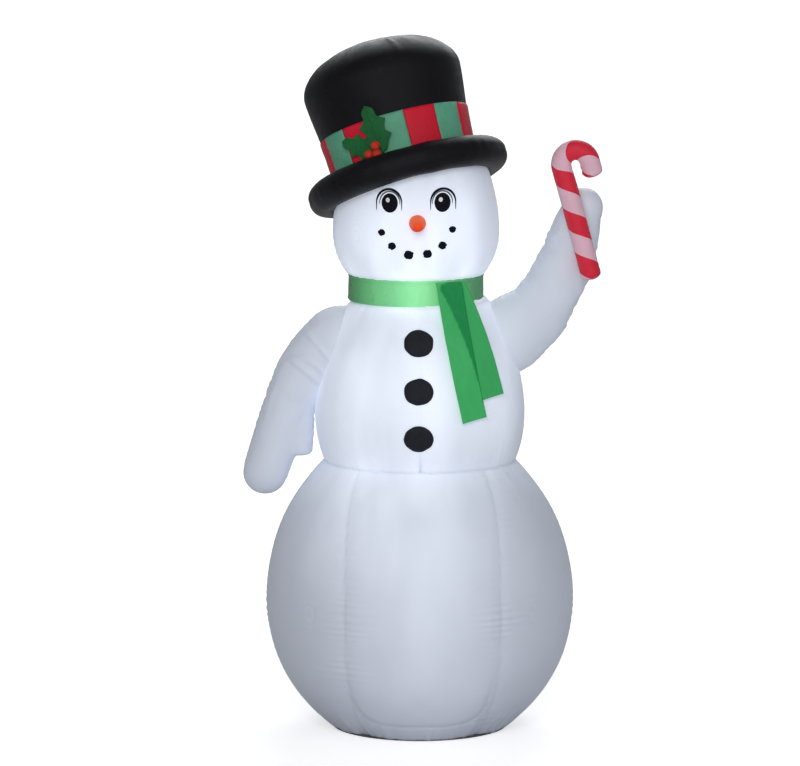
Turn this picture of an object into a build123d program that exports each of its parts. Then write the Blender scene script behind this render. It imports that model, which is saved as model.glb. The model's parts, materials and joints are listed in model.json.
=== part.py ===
from build123d import *
import math
import os

# Inflatable yard snowman, in millimetres. +Z is up, the snowman faces -Y, and the
# origin is the middle of the flat floor panel, on the ground.

STANDING = (Align.CENTER, Align.CENTER, Align.MIN)

# Fabric
SKIN_T = 2.0          # wall of every air-filled skin
SEWN_GAP = 0.4        # between a sewn-on layer and the layer under it
PATCH_T = 1.2         # appliqued face pieces
FIT_GAP = 0.2         # between hard parts that are assembled and stay put
RUNNING_FIT = 0.05    # radial clearance of a turning or sliding fit
REACH = 700.0         # longer than any cut has to be

# Ball (the lowest snowball)
PANEL_T = 2.0
FLOOR_R = 268.0
BALL_R = 470.0
BALL_Z = 395.0
WAIST_R = 292.0
WAIST_Z = 824.0
BAG_SIZE = (160.0, 100.0, 40.0)
BAG_EDGE = 14.0
BAGS = ((-120.0, -60.0, 5.0), (120.0, -60.0, 5.0))

# Torso
TORSO_LOW = WAIST_Z + 1.5
TORSO_R = 320.0
TORSO_Z = 968.0
CHEST_Z = 1060.0      # below this the side stands upright
SHOULDER = (276.0, 1260.0)
NECK_R = 204.0
NECK_Z = 1314.0

# Neck band and head
HEAD_X = -12.5
BAND_R = 205.0
BAND_LOW = NECK_Z + 2
BAND_HIGH = 1396.0
RIM_R = 210.0
RIM_Z = 1398.0
HEAD_R = 253.0
HEAD_Z = 1525.0
CROWN_JOIN_R = 203.0
CROWN_JOIN_Z = 1760.0

# Hat: its own frame sits in the middle of the brim
HAT_CENTRE = (-37.0, 0.0, 1688.0)
HAT_ROLL = 15.6
HAT_BACK_TILT = 14.8
BRIM_R = 264.0
BRIM_TUBE_R = 47.0
BRIM_GAP = 3.0        # between the brim and the cut top of the head
HAT_LOW_R = 220.0
HAT_HIGH_R = 244.0
HAT_LOW = 25.0
HAT_FLARE_LOW = 150.0
HAT_FLARE_HIGH = (240.0, 230.0)
HAT_SHOULDER = 300.0
HAT_DOME = 130.0
ROUND = 0.5523        # Bezier handle that makes a quarter ellipse
STRIPE_LOW = 50.0
STRIPE_HIGH = 165.0
STRIPES = 14
STRIPE_ANGLE = 360.0 / STRIPES
STRIPE_EDGE = 11.0    # first stripe edge, to the right of the hat's front

# Face
EYES = ((-91.5, 1636.5), (66.0, 1638.5))
PUPIL = (22.5, 28.0)
LASH = (38.0, 40.0)
LASH_T = 4.5
LASH_LEG = 22.0
NOSE = (-9.0, 1576.0)
NOSE_R = 25.0
NOSE_TIP_R = 7.0
NOSE_LENGTH = 84.0
NOSE_ROOT = 15.0      # how deep its base starts inside the head
NOSE_DROOP = 7.0
MOUTH = (             # centres (x, z) and radii
    (-116, 1545, 10), (-85, 1505, 11), (-35, 1479, 12.5),
    (21, 1482, 12.5), (66, 1507, 12), (96, 1554, 10),
)

# Coal buttons
BUTTON_X = -5.0
BUTTONS = (932.0, 1073.0, 1214.0)
BUTTON_R = 44.0
BUTTON_T = 3.0

# Arms: centres (x, z) and radii from the shoulder to the hand
HANGING_ARM = (
    (-256, 1195, 115), (-311, 1143, 98), (-357, 1082, 88),
    (-396, 999, 80), (-430, 913, 74), (-473, 784, 70),
)
HANGING_THUMB = ((-345, 985, 38), (-360, 872, 35))
RAISED_ARM = (
    (256, 1195, 117), (355, 1271, 100), (407, 1355, 91),
    (448, 1438, 85), (482, 1560, 70), (496, 1596, 60),
)
RAISED_THUMB = ((470, 1485, 42), (417, 1531, 40))
SHOULDER_GAP = 20.0   # room for the arms to sway

# Candy cane, held in front of the raised hand
CANE_FOOT = (520.0, -116.0, 1389.0)
CANE_LEAN = 15.5
CANE_R = 31.0
CANE_SHAFT = 351.0
CANE_HOOK_R = 43.0
CANE_TIP = 52.0
CANE_END = 12.0       # rounding of both ends
CANE_TAB = (470.0, 1560.0)
CANE_TAB_R = 14.0
CANE_TAB_Y = -73.5    # its face towards the hand

# Scarf tails: (height, distance from the Z axis, bearing from the front) at three places
TAIL_W = 82.0
TAIL_T = 2.0
TAIL_TOP = 1387.0
FRONT_TAIL = ((1420.0, 203.0, 22.5), (1185.0, 302.0, 23.9), (986.0, 338.0, 28.7))
BACK_TAIL = ((1420.0, 197.0, 23.0), (1215.0, 286.0, 37.0), (1050.0, 327.0, 42.0))

# Holly on the hat band: bearing round the hat, height on it
HOLLY_BEARING = -17.0
HOLLY_V = 82.0
LEAF_T = 3.0
LEAF_GAP = 0.5
SIDE_LEAF = (102.0, 72.0, 54.0)      # length, width, lean to the left
TOP_LEAF = (128.0, 80.0, -6.0)
TOP_LEAF_SHIFT = 14.0
BERRY_R = 12.0
BERRIES = ((19.0, 14.0), (-15.0, -13.0), (13.0, -14.0))

# Blower, pointing into the back of the ball
BLOWER_Z = 105.0
HOUSING_R = 90.0
HOUSING_T = 3.0
OUTLET_Y = 350.0
SPLIT_Y = 450.0
INTAKE_Y = 520.0
SPLIT_GAP = 0.3
MOTOR_R = 26.0
MOTOR_Y = (385.0, 425.0)
BRACKET_Y = (400.0, 408.0)
SHAFT_R = 3.0
SHAFT_Y = (392.0, 480.0)
HUB_R = 27.0
HUB_Y = (456.0, 486.0)
BLADES = 7
BLADE_TIP_R = 70.0
BLADE_CHORD = 26.0
BLADE_T = 2.4
BLADE_PITCH = 35.0
SCREWS = 4
SCREW_CIRCLE = 80.0
BOSS_R = 6.0
SCREW_R = 2.0
SCREW_HEAD_R = 4.0
SCREW_HEAD_H = 2.5
SCREW_START = 430.0
BOSS_Y = (425.0, 470.0)
BOSS_WEB = (9.0, 6.0)
BRACKET_ARM = 8.0
BRACKET_RING = 4.0
MOTOR_EDGE = 4.0
HUB_EDGE = 5.0
HUB_FACE_T = 6.0
GRILLE_T = 4.0
GRILLE_BAR = 5.0
HOOP_W = 3.0
OUTLET_GRILLE_Y = 351.0
INTAKE_GRILLE_Y = 514.0
GRILLE_RINGS = (20.0, 38.0, 56.0, 74.0)
SLEEVE_R = 91.5
SLEEVE_Y = (150.0, 446.0)
CORD_Y = 441.0
CORD_R = 1.4
CORD_SPREAD = 2.2     # half the distance between the two hanging cord ends
CORD_ENDS = 80.0
FOOT_SIZE = (140.0, 44.0, 30.0)
FOOT_Y = 485.0
FOOT_EDGE = 8.0

# Plug-in adapter, lying on the ground beside the blower
ADAPTER_SIZE = (46.0, 72.0, 32.0)
ADAPTER_AT = (210.0, 470.0)
ADAPTER_EDGE = 5.0
PRONG_SIZE = (1.5, 17.0, 6.5)
PRONG_SPACING = 13.0
POWER_CORD_RUN = (
    (93, 495, 105), (112, 495, 80), (118, 488, 20), (150, 470, 3.5),
    (175, 440, 3.5), (205, 418, 8), (210, 430, 16),
)

# Cord lock on the drawstring
LOCK_X = 122.0
LOCK_R = 9.0
LOCK_H = 22.0
PLUNGER_R = 5.5
PLUNGER_H = 22.5
PLUNGER_RISE = 6.0
PRESS = 3.0
LOCK_FLOOR = 2.0
LOCK_SLOT = (8.4, 4.0)     # across both cord ends, and the height for one
CAP_R = 7.0
CAP_H = 2.5
SPRING_R = 4.0
SPRING_WIRE_R = 0.35
SPRING_PITCH = 1.1
SPRING_GAP = 0.1           # between the spring's ends and what they press on

# Zip in the back of the ball, for letting the air out
ZIP_Z = 300.0
ZIP_START = 110.0
ZIP_ARC = 28.0
ZIP_HALF = 14.0
ZIP_SLIT = 2.2
TAPE_T = 1.0
TAPE_END = 1.0        # sewn ends of the tape and of the skin behind it, in degrees
SLIT_END = 2.0
TOOTH = (2.2, 5.0, 1.8)
TOOTH_LIFT = 2.2
TOOTH_STEP = 0.5
SLIDER_AT = 112.5
SLIDER_SIZE = (11.0, 11.0, 4.0)
SLIDER_LIFT = 3.0
TUNNEL_SIZE = (12.0, 6.4, 2.0)
TUNNEL_LIFT = 2.5
POST_W = 1.6
POST_Y = 4.6
PIN_LIFT = 10.0
PIN_R = 0.8
PULL_SIZE = (24.0, 7.0, 1.2)
PULL_BARREL_R = 2.0
PULL_HOLE = (19.0, 2.0)

# Tabs with eyelets
TAB_W = 36.0
TAB_T = 2.5
TAB_HOLE_R = 9.0
EYELET_R = 6.0
EYELET_OUT_R = 8.8
EYELET_H = 3.1
STAKE_BEARINGS = (35.0, 145.0)
STAKE_EYELET = (367.5, 28.0)
STAKE_TAB = 60.0
STAKE_TAB_END = 44.0
TETHER_BEARINGS = (50.0, 130.0)
TETHER_EYELET = (334.0, 1092.0)
TETHER_TAB = 46.0

# Lamps and wiring
SOCKET_R = 14.0
SOCKET_H = 30.0
GLOBE_R = 30.0
GLOBE_T = 1.5
GLOBE_MOUTH_R = 22.0
LED_R = 6.0
LED_H = 18.0
LED_EDGE = 5.5
WELL_R = 7.0
WELL_DEPTH = 4.0
LAMP_GAP = 0.3
WIRE_R = 3.0
BALL_LAMP = (0.0, -60.0, 110.0)
TORSO_LAMP = (60.0, 0.0, 1000.0)
HEAD_LAMP = (-60.0, 0.0, 1540.0)
BALL_HARNESS = (
    ((30, 345, 62), (30, 200, 45), (5, -20, 60), (0, -60, 108)),
    ((45, 345, 62), (120, 180, 200), (180, 80, 500), (190, 60, 815)),
)
TORSO_HARNESS = (
    ((190, 60, 826), (150, 40, 900), (70, 5, 960), (60, 0, 997)),
    ((196, 60, 826), (170, 80, 1100), (60, 100, 1300), (0, 100, 1380)),
)
HEAD_HARNESS = (
    ((0, 100, 1400), (-20, 60, 1440), (-58, 8, 1500), (-60, 0, 1537)),
)


def bulge_radius(depth, span):
    """Radius of an arc that bulges by depth over a half chord of span."""
    return (depth**2 + span**2) / (2 * depth)


def ball_radius(height):
    """Radius of the ball's outside below its widest line."""
    radius = bulge_radius(BALL_R - FLOOR_R, BALL_Z - PANEL_T)
    return BALL_R - radius + math.sqrt(radius**2 - (BALL_Z - height) ** 2)


def bearing_vector(bearing):
    """Horizontal unit vector at a bearing from the front, towards +X."""
    return Vector(math.sin(math.radians(bearing)), -math.cos(math.radians(bearing)), 0)


def radial_plane(angle, radius, height):
    """Plane facing outward at an angle from +X, with its y axis up."""
    turn = math.radians(angle)
    outward = Vector(math.cos(turn), math.sin(turn), 0)
    sideways = Vector(-math.sin(turn), math.cos(turn), 0)
    return Plane(origin=outward * radius + Vector(0, 0, height), x_dir=sideways, z_dir=outward)


def turned(plane, x_turn, y_turn, z_turn):
    """A plane turned about its own axes."""
    return Plane(plane.location * Location((0, 0, 0), (x_turn, y_turn, z_turn)))


def blower_plane(y):
    """Plane across the blower's axis, facing away from the snowman."""
    return Plane(origin=(0, y, BLOWER_Z), x_dir=(-1, 0, 0), z_dir=(0, 1, 0))


def save(piece, label):
    """Name a finished piece and write its STEP file."""
    piece.part.label = label
    export_step(piece.part, f"parts/{label}.step")


# Side outlines. Each is drawn in (distance from the axis, height), moved outward by
# a shift, and returns its lowest and its highest point.


def ball_outline(shift):
    low = (FLOOR_R + shift, PANEL_T + FIT_GAP)
    high = (WAIST_R + shift, WAIST_Z)
    widest = (BALL_R + shift, BALL_Z)
    TangentArc(widest, low, tangent=(0, -1))
    TangentArc(widest, high, tangent=(0, 1))
    return low, high


def torso_outline(shift):
    low = (WAIST_R + shift, TORSO_LOW)
    high = (NECK_R + shift, NECK_Z)
    widest = (TORSO_R + shift, TORSO_Z)
    TangentArc(widest, low, tangent=(0, -1))
    Bezier(widest, (TORSO_R + shift, CHEST_Z), (SHOULDER[0] + shift, SHOULDER[1]), high)
    return low, high


def band_outline(shift):
    low = (BAND_R + shift, BAND_LOW)
    high = (BAND_R + shift, BAND_HIGH)
    Line(low, high)
    return low, high


def head_outline(shift):
    low = (RIM_R + shift, RIM_Z)
    high = (CROWN_JOIN_R + shift, CROWN_JOIN_Z)
    widest = (HEAD_R + shift, HEAD_Z)
    TangentArc(widest, low, tangent=(0, -1))
    TangentArc(widest, high, tangent=(0, 1))
    return low, high


def hat_outline(shift):
    low = (HAT_LOW_R + shift, HAT_LOW)
    shoulder = (HAT_HIGH_R + shift, HAT_SHOULDER)
    high = (0, HAT_SHOULDER + HAT_DOME + shift)
    flare = (HAT_FLARE_HIGH[0] + shift, HAT_FLARE_HIGH[1])
    Bezier(low, (HAT_LOW_R + shift, HAT_FLARE_LOW), flare, shoulder)
    handle = (HAT_HIGH_R + shift, HAT_SHOULDER + ROUND * (HAT_DOME + shift))
    Bezier(shoulder, handle, (ROUND * (HAT_HIGH_R + shift), high[1]), high)
    return low, high


# Frames that the outlines are drawn in
BODY = Plane.XY
HEAD = Plane(origin=(HEAD_X, 0, 0))
ROLL = math.radians(HAT_ROLL)
TILT = math.radians(HAT_BACK_TILT)
HAT = Plane(
    origin=HAT_CENTRE,
    x_dir=(math.cos(ROLL), 0, math.sin(ROLL)),
    z_dir=(-math.sin(ROLL) * math.cos(TILT), math.sin(TILT), math.cos(ROLL) * math.cos(TILT)),
)


def half_section(outline, frame, shift):
    """The area between an outline and the frame's z axis."""
    side = Plane(origin=frame.origin, x_dir=frame.x_dir, z_dir=-frame.y_dir)
    with BuildSketch(side) as section:
        with BuildLine():
            low, high = outline(shift)
            if high[0] > 0:
                Line(high, (0, high[1]))
            Polyline((0, high[1]), (0, low[1]), low)
        make_face()
    return section.sketch


def layer(outline, frame, outer, inner):
    """Revolve the layer between two outward shifts of an outline."""
    axis = Axis(frame.origin, frame.z_dir)
    with BuildPart() as ring:
        revolve(profiles=half_section(outline, frame, outer), axis=axis)
        revolve(profiles=half_section(outline, frame, inner), axis=axis, mode=Mode.SUBTRACT)
    return ring.part


def wedge(start, sweep, low, high):
    """A thin horizontal pie slice, from one angle through a sweep, all in degrees."""
    with BuildPart() as pie:
        with BuildSketch(Plane.XY.offset(low)):
            with BuildLine():
                CenterArc((0, 0), REACH, start, sweep)
                ends = [Vector(REACH, 0).rotate(Axis.Z, turn) for turn in (start, start + sweep)]
                Polyline(ends[0], (0, 0), ends[1])
            make_face()
        extrude(amount=high - low)
    return pie.part


def zip_sector(inset, half_height):
    """The zip's share of the ball, shortened at each end by an inset in degrees."""
    return wedge(ZIP_START + inset, ZIP_ARC - 2 * inset, ZIP_Z - half_height, ZIP_Z + half_height)


def limb(stations, shrink):
    """Loft circles through (x, z, radius) stations and round both ends."""
    centres = [Vector(x, 0, z) for x, z, radius in stations]
    last = len(centres) - 1
    with BuildPart() as body:
        for index, (x, z, radius) in enumerate(stations):
            along = centres[min(index + 1, last)] - centres[max(index - 1, 0)]
            with BuildSketch(Plane(origin=centres[index], z_dir=along)):
                Circle(radius - shrink)
        loft(ruled=True)
        for index in (0, last):
            with Locations(centres[index]):
                Sphere(stations[index][2] - shrink)
    return body.part


def mitten_arm(arm, thumb):
    """A hollow arm with its thumb, kept clear of the torso's side."""
    torso_side = half_section(torso_outline, BODY, SHOULDER_GAP)
    with BuildPart() as sleeve:
        add(limb(arm, 0))
        add(limb(thumb, 0))
        add(limb(arm, SKIN_T), mode=Mode.SUBTRACT)
        add(limb(thumb, SKIN_T), mode=Mode.SUBTRACT)
        revolve(profiles=torso_side, axis=Axis.Z, mode=Mode.SUBTRACT)
        with Locations((0, 0, BAND_LOW)):
            Cylinder(NECK_R + SHOULDER_GAP, REACH, align=STANDING, mode=Mode.SUBTRACT)
    return sleeve.part


def tube(plane, outer, inner, length):
    """A straight tube standing on a plane."""
    with BuildPart() as pipe:
        with BuildSketch(plane):
            Circle(outer)
            Circle(inner, mode=Mode.SUBTRACT)
        extrude(amount=length)
    return pipe.part


def grille(y):
    """A round finger guard of rings and spokes across the blower."""
    rim = HOUSING_R - HOUSING_T - FIT_GAP
    with BuildPart() as guard:
        with BuildSketch(blower_plane(y)):
            Circle(rim)
            Circle(rim - GRILLE_BAR, mode=Mode.SUBTRACT)
            for radius in GRILLE_RINGS:
                with BuildSketch(mode=Mode.PRIVATE) as hoop:
                    Circle(radius)
                    Circle(radius - HOOP_W, mode=Mode.SUBTRACT)
                add(hoop.sketch)
            with PolarLocations(0, 4):
                Rectangle(2 * rim - GRILLE_BAR, GRILLE_BAR)
        extrude(amount=GRILLE_T)
    return guard.part


def screw_bosses(start, end):
    """The bosses inside the housing, each on a web, with a hole for its screw."""
    with BuildPart() as bosses:
        with BuildSketch(blower_plane(start)):
            with PolarLocations(SCREW_CIRCLE, SCREWS, start_angle=45):
                Circle(BOSS_R)
                Rectangle(*BOSS_WEB, align=(Align.MIN, Align.CENTER))
                Circle(SCREW_R + RUNNING_FIT, mode=Mode.SUBTRACT)
        extrude(amount=end - start)
    return bosses.part


def screw_rods(radius, start, end):
    """Rods on the screws' axes."""
    with BuildPart() as rods:
        with BuildSketch(blower_plane(start)):
            with PolarLocations(SCREW_CIRCLE, SCREWS, start_angle=45):
                Circle(radius)
        extrude(amount=end - start)
    return rods.part


def wire(points):
    """A round cable through points."""
    with BuildPart() as cable:
        with BuildLine() as run:
            Spline(*points)
        with BuildSketch(Plane(origin=run.line @ 0, z_dir=run.line % 0)):
            Circle(WIRE_R)
        sweep()
    return cable.part


def tail(stations):
    """A flat scarf tail lofted through its stations, facing outward."""
    centres = [bearing_vector(turn) * reach + Vector(0, 0, height) for height, reach, turn in stations]
    last = len(centres) - 1
    with BuildPart() as strip:
        for index, (height, reach, turn) in enumerate(stations):
            along = centres[min(index + 1, last)] - centres[max(index - 1, 0)]
            across = bearing_vector(turn + 90)
            across = across - along * (across.dot(along) / along.dot(along))
            with BuildSketch(Plane(origin=centres[index], x_dir=across, z_dir=along)):
                Rectangle(TAIL_W, TAIL_T)
        loft()
        split(bisect_by=Plane.XY.offset(TAIL_TOP), keep=Keep.BOTTOM)
    return strip.part


def save_lamp(place, name):
    """Write the socket, globe and LED of one lamp that stands on a point."""
    foot = Plane(origin=place)
    with BuildPart(foot) as socket:
        Cylinder(SOCKET_R, SOCKET_H, align=STANDING)
        with Locations((0, 0, SOCKET_H)):
            Cylinder(WELL_R, WELL_DEPTH, align=(Align.CENTER, Align.CENTER, Align.MAX), mode=Mode.SUBTRACT)
    save(socket, f"{name}_lamp_socket")

    with BuildPart(foot.offset(SOCKET_H - WELL_DEPTH + FIT_GAP)) as led:
        Cylinder(LED_R, LED_H, align=STANDING)
        fillet(led.edges().sort_by(Axis.Z)[-1], LED_EDGE)
    save(led, f"{name}_lamp_led")

    globe_centre = SOCKET_H + math.sqrt(GLOBE_R**2 - SOCKET_R**2) + LAMP_GAP
    with BuildPart(foot) as globe:
        with Locations((0, 0, globe_centre)):
            Sphere(GLOBE_R)
            Sphere(GLOBE_R - GLOBE_T, mode=Mode.SUBTRACT)
        Cylinder(GLOBE_MOUTH_R, SOCKET_H + LAMP_GAP, align=STANDING, mode=Mode.SUBTRACT)
    save(globe, f"{name}_lamp_globe")


def save_eyelets(frames, name):
    """Write a group of eyelets pressed into fabric tabs."""
    with BuildPart() as eyelets:
        with Locations(*frames):
            Cylinder(EYELET_OUT_R, EYELET_H)
            Hole(EYELET_R)
    save(eyelets, name)


os.makedirs("parts", exist_ok=True)

# Ball, floor panel and what lies on it --------------------------------------------

with BuildPart() as ball_envelope:
    add(layer(ball_outline, BODY, 0, -SKIN_T))
    with BuildSketch(blower_plane(0)):
        Circle(SLEEVE_R)
    extrude(amount=REACH, mode=Mode.SUBTRACT)
    add(zip_sector(SLIT_END, ZIP_SLIT), mode=Mode.SUBTRACT)
save(ball_envelope, "ball_envelope")

with BuildPart() as floor_panel:
    with BuildSketch():
        Circle(FLOOR_R)
    extrude(amount=PANEL_T)
save(floor_panel, "floor_panel")

with BuildPart() as ballast_bags:
    with Locations(*BAGS):
        Box(*BAG_SIZE, align=STANDING)
    fillet(ballast_bags.edges(), BAG_EDGE)
save(ballast_bags, "ballast_bags")

# Zip ------------------------------------------------------------------------------

zip_r = ball_radius(ZIP_Z)

with BuildPart() as zipper_tape:
    add(layer(ball_outline, BODY, SEWN_GAP + TAPE_T, SEWN_GAP))
    add(zip_sector(0, ZIP_HALF), mode=Mode.INTERSECT)
    add(zip_sector(TAPE_END, ZIP_SLIT), mode=Mode.SUBTRACT)
save(zipper_tape, "zipper_tape")

tooth_r = zip_r + TOOTH_LIFT + TOOTH[2] / 2
first_tooth = ZIP_START + TAPE_END
teeth = int((ZIP_ARC - 2 * TAPE_END) / TOOTH_STEP)
with BuildPart() as zipper_teeth:
    with Locations(*[radial_plane(first_tooth + i * TOOTH_STEP, tooth_r, ZIP_Z) for i in range(teeth)]):
        Box(*TOOTH)
save(zipper_teeth, "zipper_teeth")

slider_top = SLIDER_LIFT + SLIDER_SIZE[2]
with BuildPart(radial_plane(SLIDER_AT, zip_r, ZIP_Z)) as zipper_slider:
    with Locations((0, 0, SLIDER_LIFT)):
        Box(*SLIDER_SIZE, align=STANDING)
    with Locations((0, 0, TUNNEL_LIFT)):
        Box(*TUNNEL_SIZE, align=STANDING, mode=Mode.SUBTRACT)
    with Locations((0, -POST_Y, slider_top), (0, POST_Y, slider_top)):
        Box(POST_W, POST_W, PIN_LIFT + PIN_R - slider_top, align=STANDING)
    with Locations((0, 0, PIN_LIFT)):
        Cylinder(PIN_R, 2 * POST_Y, rotation=(90, 0, 0))
save(zipper_slider, "zipper_slider")

with BuildPart(radial_plane(SLIDER_AT, zip_r, ZIP_Z)) as zipper_pull:
    with Locations((0, 0, PIN_LIFT)):
        Cylinder(PULL_BARREL_R, PULL_SIZE[1], rotation=(90, 0, 0))
        Box(*PULL_SIZE, align=(Align.MIN, Align.CENTER, Align.CENTER))
        Cylinder(PIN_R + RUNNING_FIT, PULL_SIZE[1] + 1, rotation=(90, 0, 0), mode=Mode.SUBTRACT)
    with Locations((PULL_HOLE[0], 0, PIN_LIFT)):
        Cylinder(PULL_HOLE[1], 2 * PULL_SIZE[2], mode=Mode.SUBTRACT)
save(zipper_pull, "zipper_pull")

# Blower ---------------------------------------------------------------------------

bore_r = HOUSING_R - HOUSING_T

with BuildPart() as outlet_shell:
    add(tube(blower_plane(OUTLET_Y), HOUSING_R, bore_r, SPLIT_Y - SPLIT_GAP - OUTLET_Y))
    add(screw_bosses(BOSS_Y[0], SPLIT_Y - SPLIT_GAP))
save(outlet_shell, "outlet_shell")

with BuildPart() as intake_shell:
    add(tube(blower_plane(SPLIT_Y), HOUSING_R, bore_r, INTAKE_Y - SPLIT_Y))
    add(screw_bosses(SPLIT_Y, BOSS_Y[1]))
save(intake_shell, "intake_shell")

head_start = BOSS_Y[1] + FIT_GAP / 2
with BuildPart() as housing_screws:
    add(screw_rods(SCREW_R, SCREW_START, head_start))
    add(screw_rods(SCREW_HEAD_R, head_start, head_start + SCREW_HEAD_H))
save(housing_screws, "housing_screws")

with BuildPart() as finger_grilles:
    add(grille(OUTLET_GRILLE_Y))
    add(grille(INTAKE_GRILLE_Y))
save(finger_grilles, "finger_grilles")

with BuildPart() as fan_motor:
    with BuildSketch(blower_plane(MOTOR_Y[0])):
        Circle(MOTOR_R)
    extrude(amount=MOTOR_Y[1] - MOTOR_Y[0])
    fillet(fan_motor.faces().sort_by(Axis.Y)[0].edges(), MOTOR_EDGE)
    with BuildSketch(blower_plane(SHAFT_Y[0] - 1)):
        Circle(SHAFT_R + RUNNING_FIT)
    extrude(amount=REACH, mode=Mode.SUBTRACT)
save(fan_motor, "fan_motor")

with BuildPart() as motor_bracket:
    with BuildSketch(blower_plane(BRACKET_Y[0])):
        with PolarLocations(0, 4):
            Rectangle(2 * (bore_r - 1), BRACKET_ARM)
        Circle(MOTOR_R + BRACKET_RING)
        Circle(MOTOR_R + FIT_GAP, mode=Mode.SUBTRACT)
    extrude(amount=BRACKET_Y[1] - BRACKET_Y[0])
save(motor_bracket, "motor_bracket")

with BuildPart() as fan_shaft:
    with BuildSketch(blower_plane(SHAFT_Y[0])):
        Circle(SHAFT_R)
    extrude(amount=SHAFT_Y[1] - SHAFT_Y[0])
save(fan_shaft, "fan_shaft")

hub_depth = HUB_Y[1] - HUB_Y[0]
with BuildPart(blower_plane(HUB_Y[0] + hub_depth / 2)) as fan_impeller:
    Cylinder(HUB_R, hub_depth)
    fillet(fan_impeller.faces().sort_by(Axis.Y)[-1].edges(), HUB_EDGE)
    with PolarLocations(HUB_R - 1, BLADES):
        Box(
            BLADE_TIP_R - HUB_R, BLADE_CHORD, BLADE_T,
            rotation=(BLADE_PITCH, 0, 0), align=(Align.MIN, Align.CENTER, Align.CENTER),
        )
    with Locations((0, 0, -HUB_FACE_T)):
        Cylinder(SHAFT_R + RUNNING_FIT, hub_depth, mode=Mode.SUBTRACT)
save(fan_impeller, "fan_impeller")

with BuildPart() as blower_foot:
    with Locations((0, FOOT_Y, 0)):
        Box(*FOOT_SIZE, align=STANDING)
    fillet(blower_foot.edges().filter_by(Axis.Z), FOOT_EDGE)
    with BuildSketch(blower_plane(OUTLET_Y)):
        Circle(HOUSING_R + FIT_GAP)
    extrude(amount=REACH, mode=Mode.SUBTRACT)
save(blower_foot, "blower_foot")

with BuildPart() as blower_sleeve:
    add(tube(blower_plane(SLEEVE_Y[0]), SLEEVE_R + SKIN_T, SLEEVE_R, SLEEVE_Y[1] - SLEEVE_Y[0]))
    revolve(profiles=half_section(ball_outline, BODY, SEWN_GAP), axis=Axis.Z, mode=Mode.SUBTRACT)
save(blower_sleeve, "blower_sleeve")

with BuildPart() as drawstring:
    hoop_r = SLEEVE_R + SKIN_T + SEWN_GAP + CORD_R
    with Locations(blower_plane(CORD_Y)):
        Torus(hoop_r, CORD_R)
    for y in (CORD_Y - CORD_SPREAD, CORD_Y + CORD_SPREAD):
        with BuildSketch(Plane(origin=(hoop_r, y, BLOWER_Z), z_dir=(1, 0, 0))):
            Circle(CORD_R)
        extrude(amount=CORD_ENDS)
save(drawstring, "drawstring")

# Cord lock: a barrel with a sprung plunger, standing across the two cord ends
lock_foot = Plane(origin=(LOCK_X, CORD_Y, BLOWER_Z - LOCK_H / 2))
plunger_low = LOCK_H + PLUNGER_RISE - PLUNGER_H

with BuildPart(lock_foot) as cord_lock_barrel:
    Cylinder(LOCK_R, LOCK_H, align=STANDING)
    fillet(cord_lock_barrel.edges().group_by(Axis.Z)[0], LOCK_FLOOR)
    with Locations((0, 0, LOCK_FLOOR)):
        Cylinder(PLUNGER_R + RUNNING_FIT, LOCK_H, align=STANDING, mode=Mode.SUBTRACT)
    with Locations((0, 0, LOCK_H / 2)):
        Box(3 * LOCK_R, *LOCK_SLOT, mode=Mode.SUBTRACT)
save(cord_lock_barrel, "cord_lock_barrel")

with BuildPart(lock_foot) as cord_lock_plunger:
    with Locations((0, 0, plunger_low)):
        Cylinder(PLUNGER_R, PLUNGER_H, align=STANDING)
    with Locations((0, 0, (LOCK_H - LOCK_SLOT[1]) / 2)):
        Box(3 * LOCK_R, LOCK_SLOT[0], LOCK_SLOT[1] + PRESS, align=STANDING, mode=Mode.SUBTRACT)
    with Locations((0, 0, LOCK_H + PLUNGER_RISE)):
        Cylinder(CAP_R, CAP_H, align=(Align.CENTER, Align.CENTER, Align.MAX))
save(cord_lock_plunger, "cord_lock_plunger")

spring_low = LOCK_FLOOR + SPRING_WIRE_R + SPRING_GAP
spring_high = plunger_low - SPRING_WIRE_R - 3 * SPRING_GAP
spring_foot = lock_foot.origin + Vector(0, 0, spring_low)
with BuildPart() as cord_lock_spring:
    with BuildLine() as coil:
        Helix(SPRING_PITCH, spring_high - spring_low, SPRING_R, center=spring_foot)
    with BuildSketch(Plane(origin=coil.line @ 0, z_dir=coil.line % 0)):
        Circle(SPRING_WIRE_R)
    sweep(is_frenet=True)
save(cord_lock_spring, "cord_lock_spring")

# Power cord, plug-in adapter and prongs
with BuildPart() as power_adapter:
    with Locations(ADAPTER_AT):
        Box(*ADAPTER_SIZE, align=STANDING)
    fillet(power_adapter.edges(), ADAPTER_EDGE)
save(power_adapter, "power_adapter")

with BuildPart() as plug_prongs:
    prong_y = ADAPTER_AT[1] + ADAPTER_SIZE[1] / 2 + FIT_GAP
    for side in (-1, 1):
        with Locations((ADAPTER_AT[0] + side * PRONG_SPACING / 2, prong_y, ADAPTER_SIZE[2] / 2)):
            Box(*PRONG_SIZE, align=(Align.CENTER, Align.MIN, Align.CENTER))
save(plug_prongs, "plug_prongs")

with BuildPart() as power_cord:
    add(wire(POWER_CORD_RUN))
save(power_cord, "power_cord")

# Tabs with eyelets for stakes and for tether cords ----------------------------------

stake_frames = []
for bearing in STAKE_BEARINGS:
    upright = radial_plane(bearing, STAKE_EYELET[0], STAKE_EYELET[1])
    stake_frames.append(turned(upright, -45, 0, 0))
with BuildPart() as stake_tabs:
    with Locations(*stake_frames):
        with Locations((0, STAKE_TAB_END, 0)):
            Box(TAB_W, STAKE_TAB, TAB_T, align=(Align.CENTER, Align.MAX, Align.CENTER))
        Hole(TAB_HOLE_R)
save(stake_tabs, "stake_tabs")
save_eyelets(stake_frames, "stake_eyelets")

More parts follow.
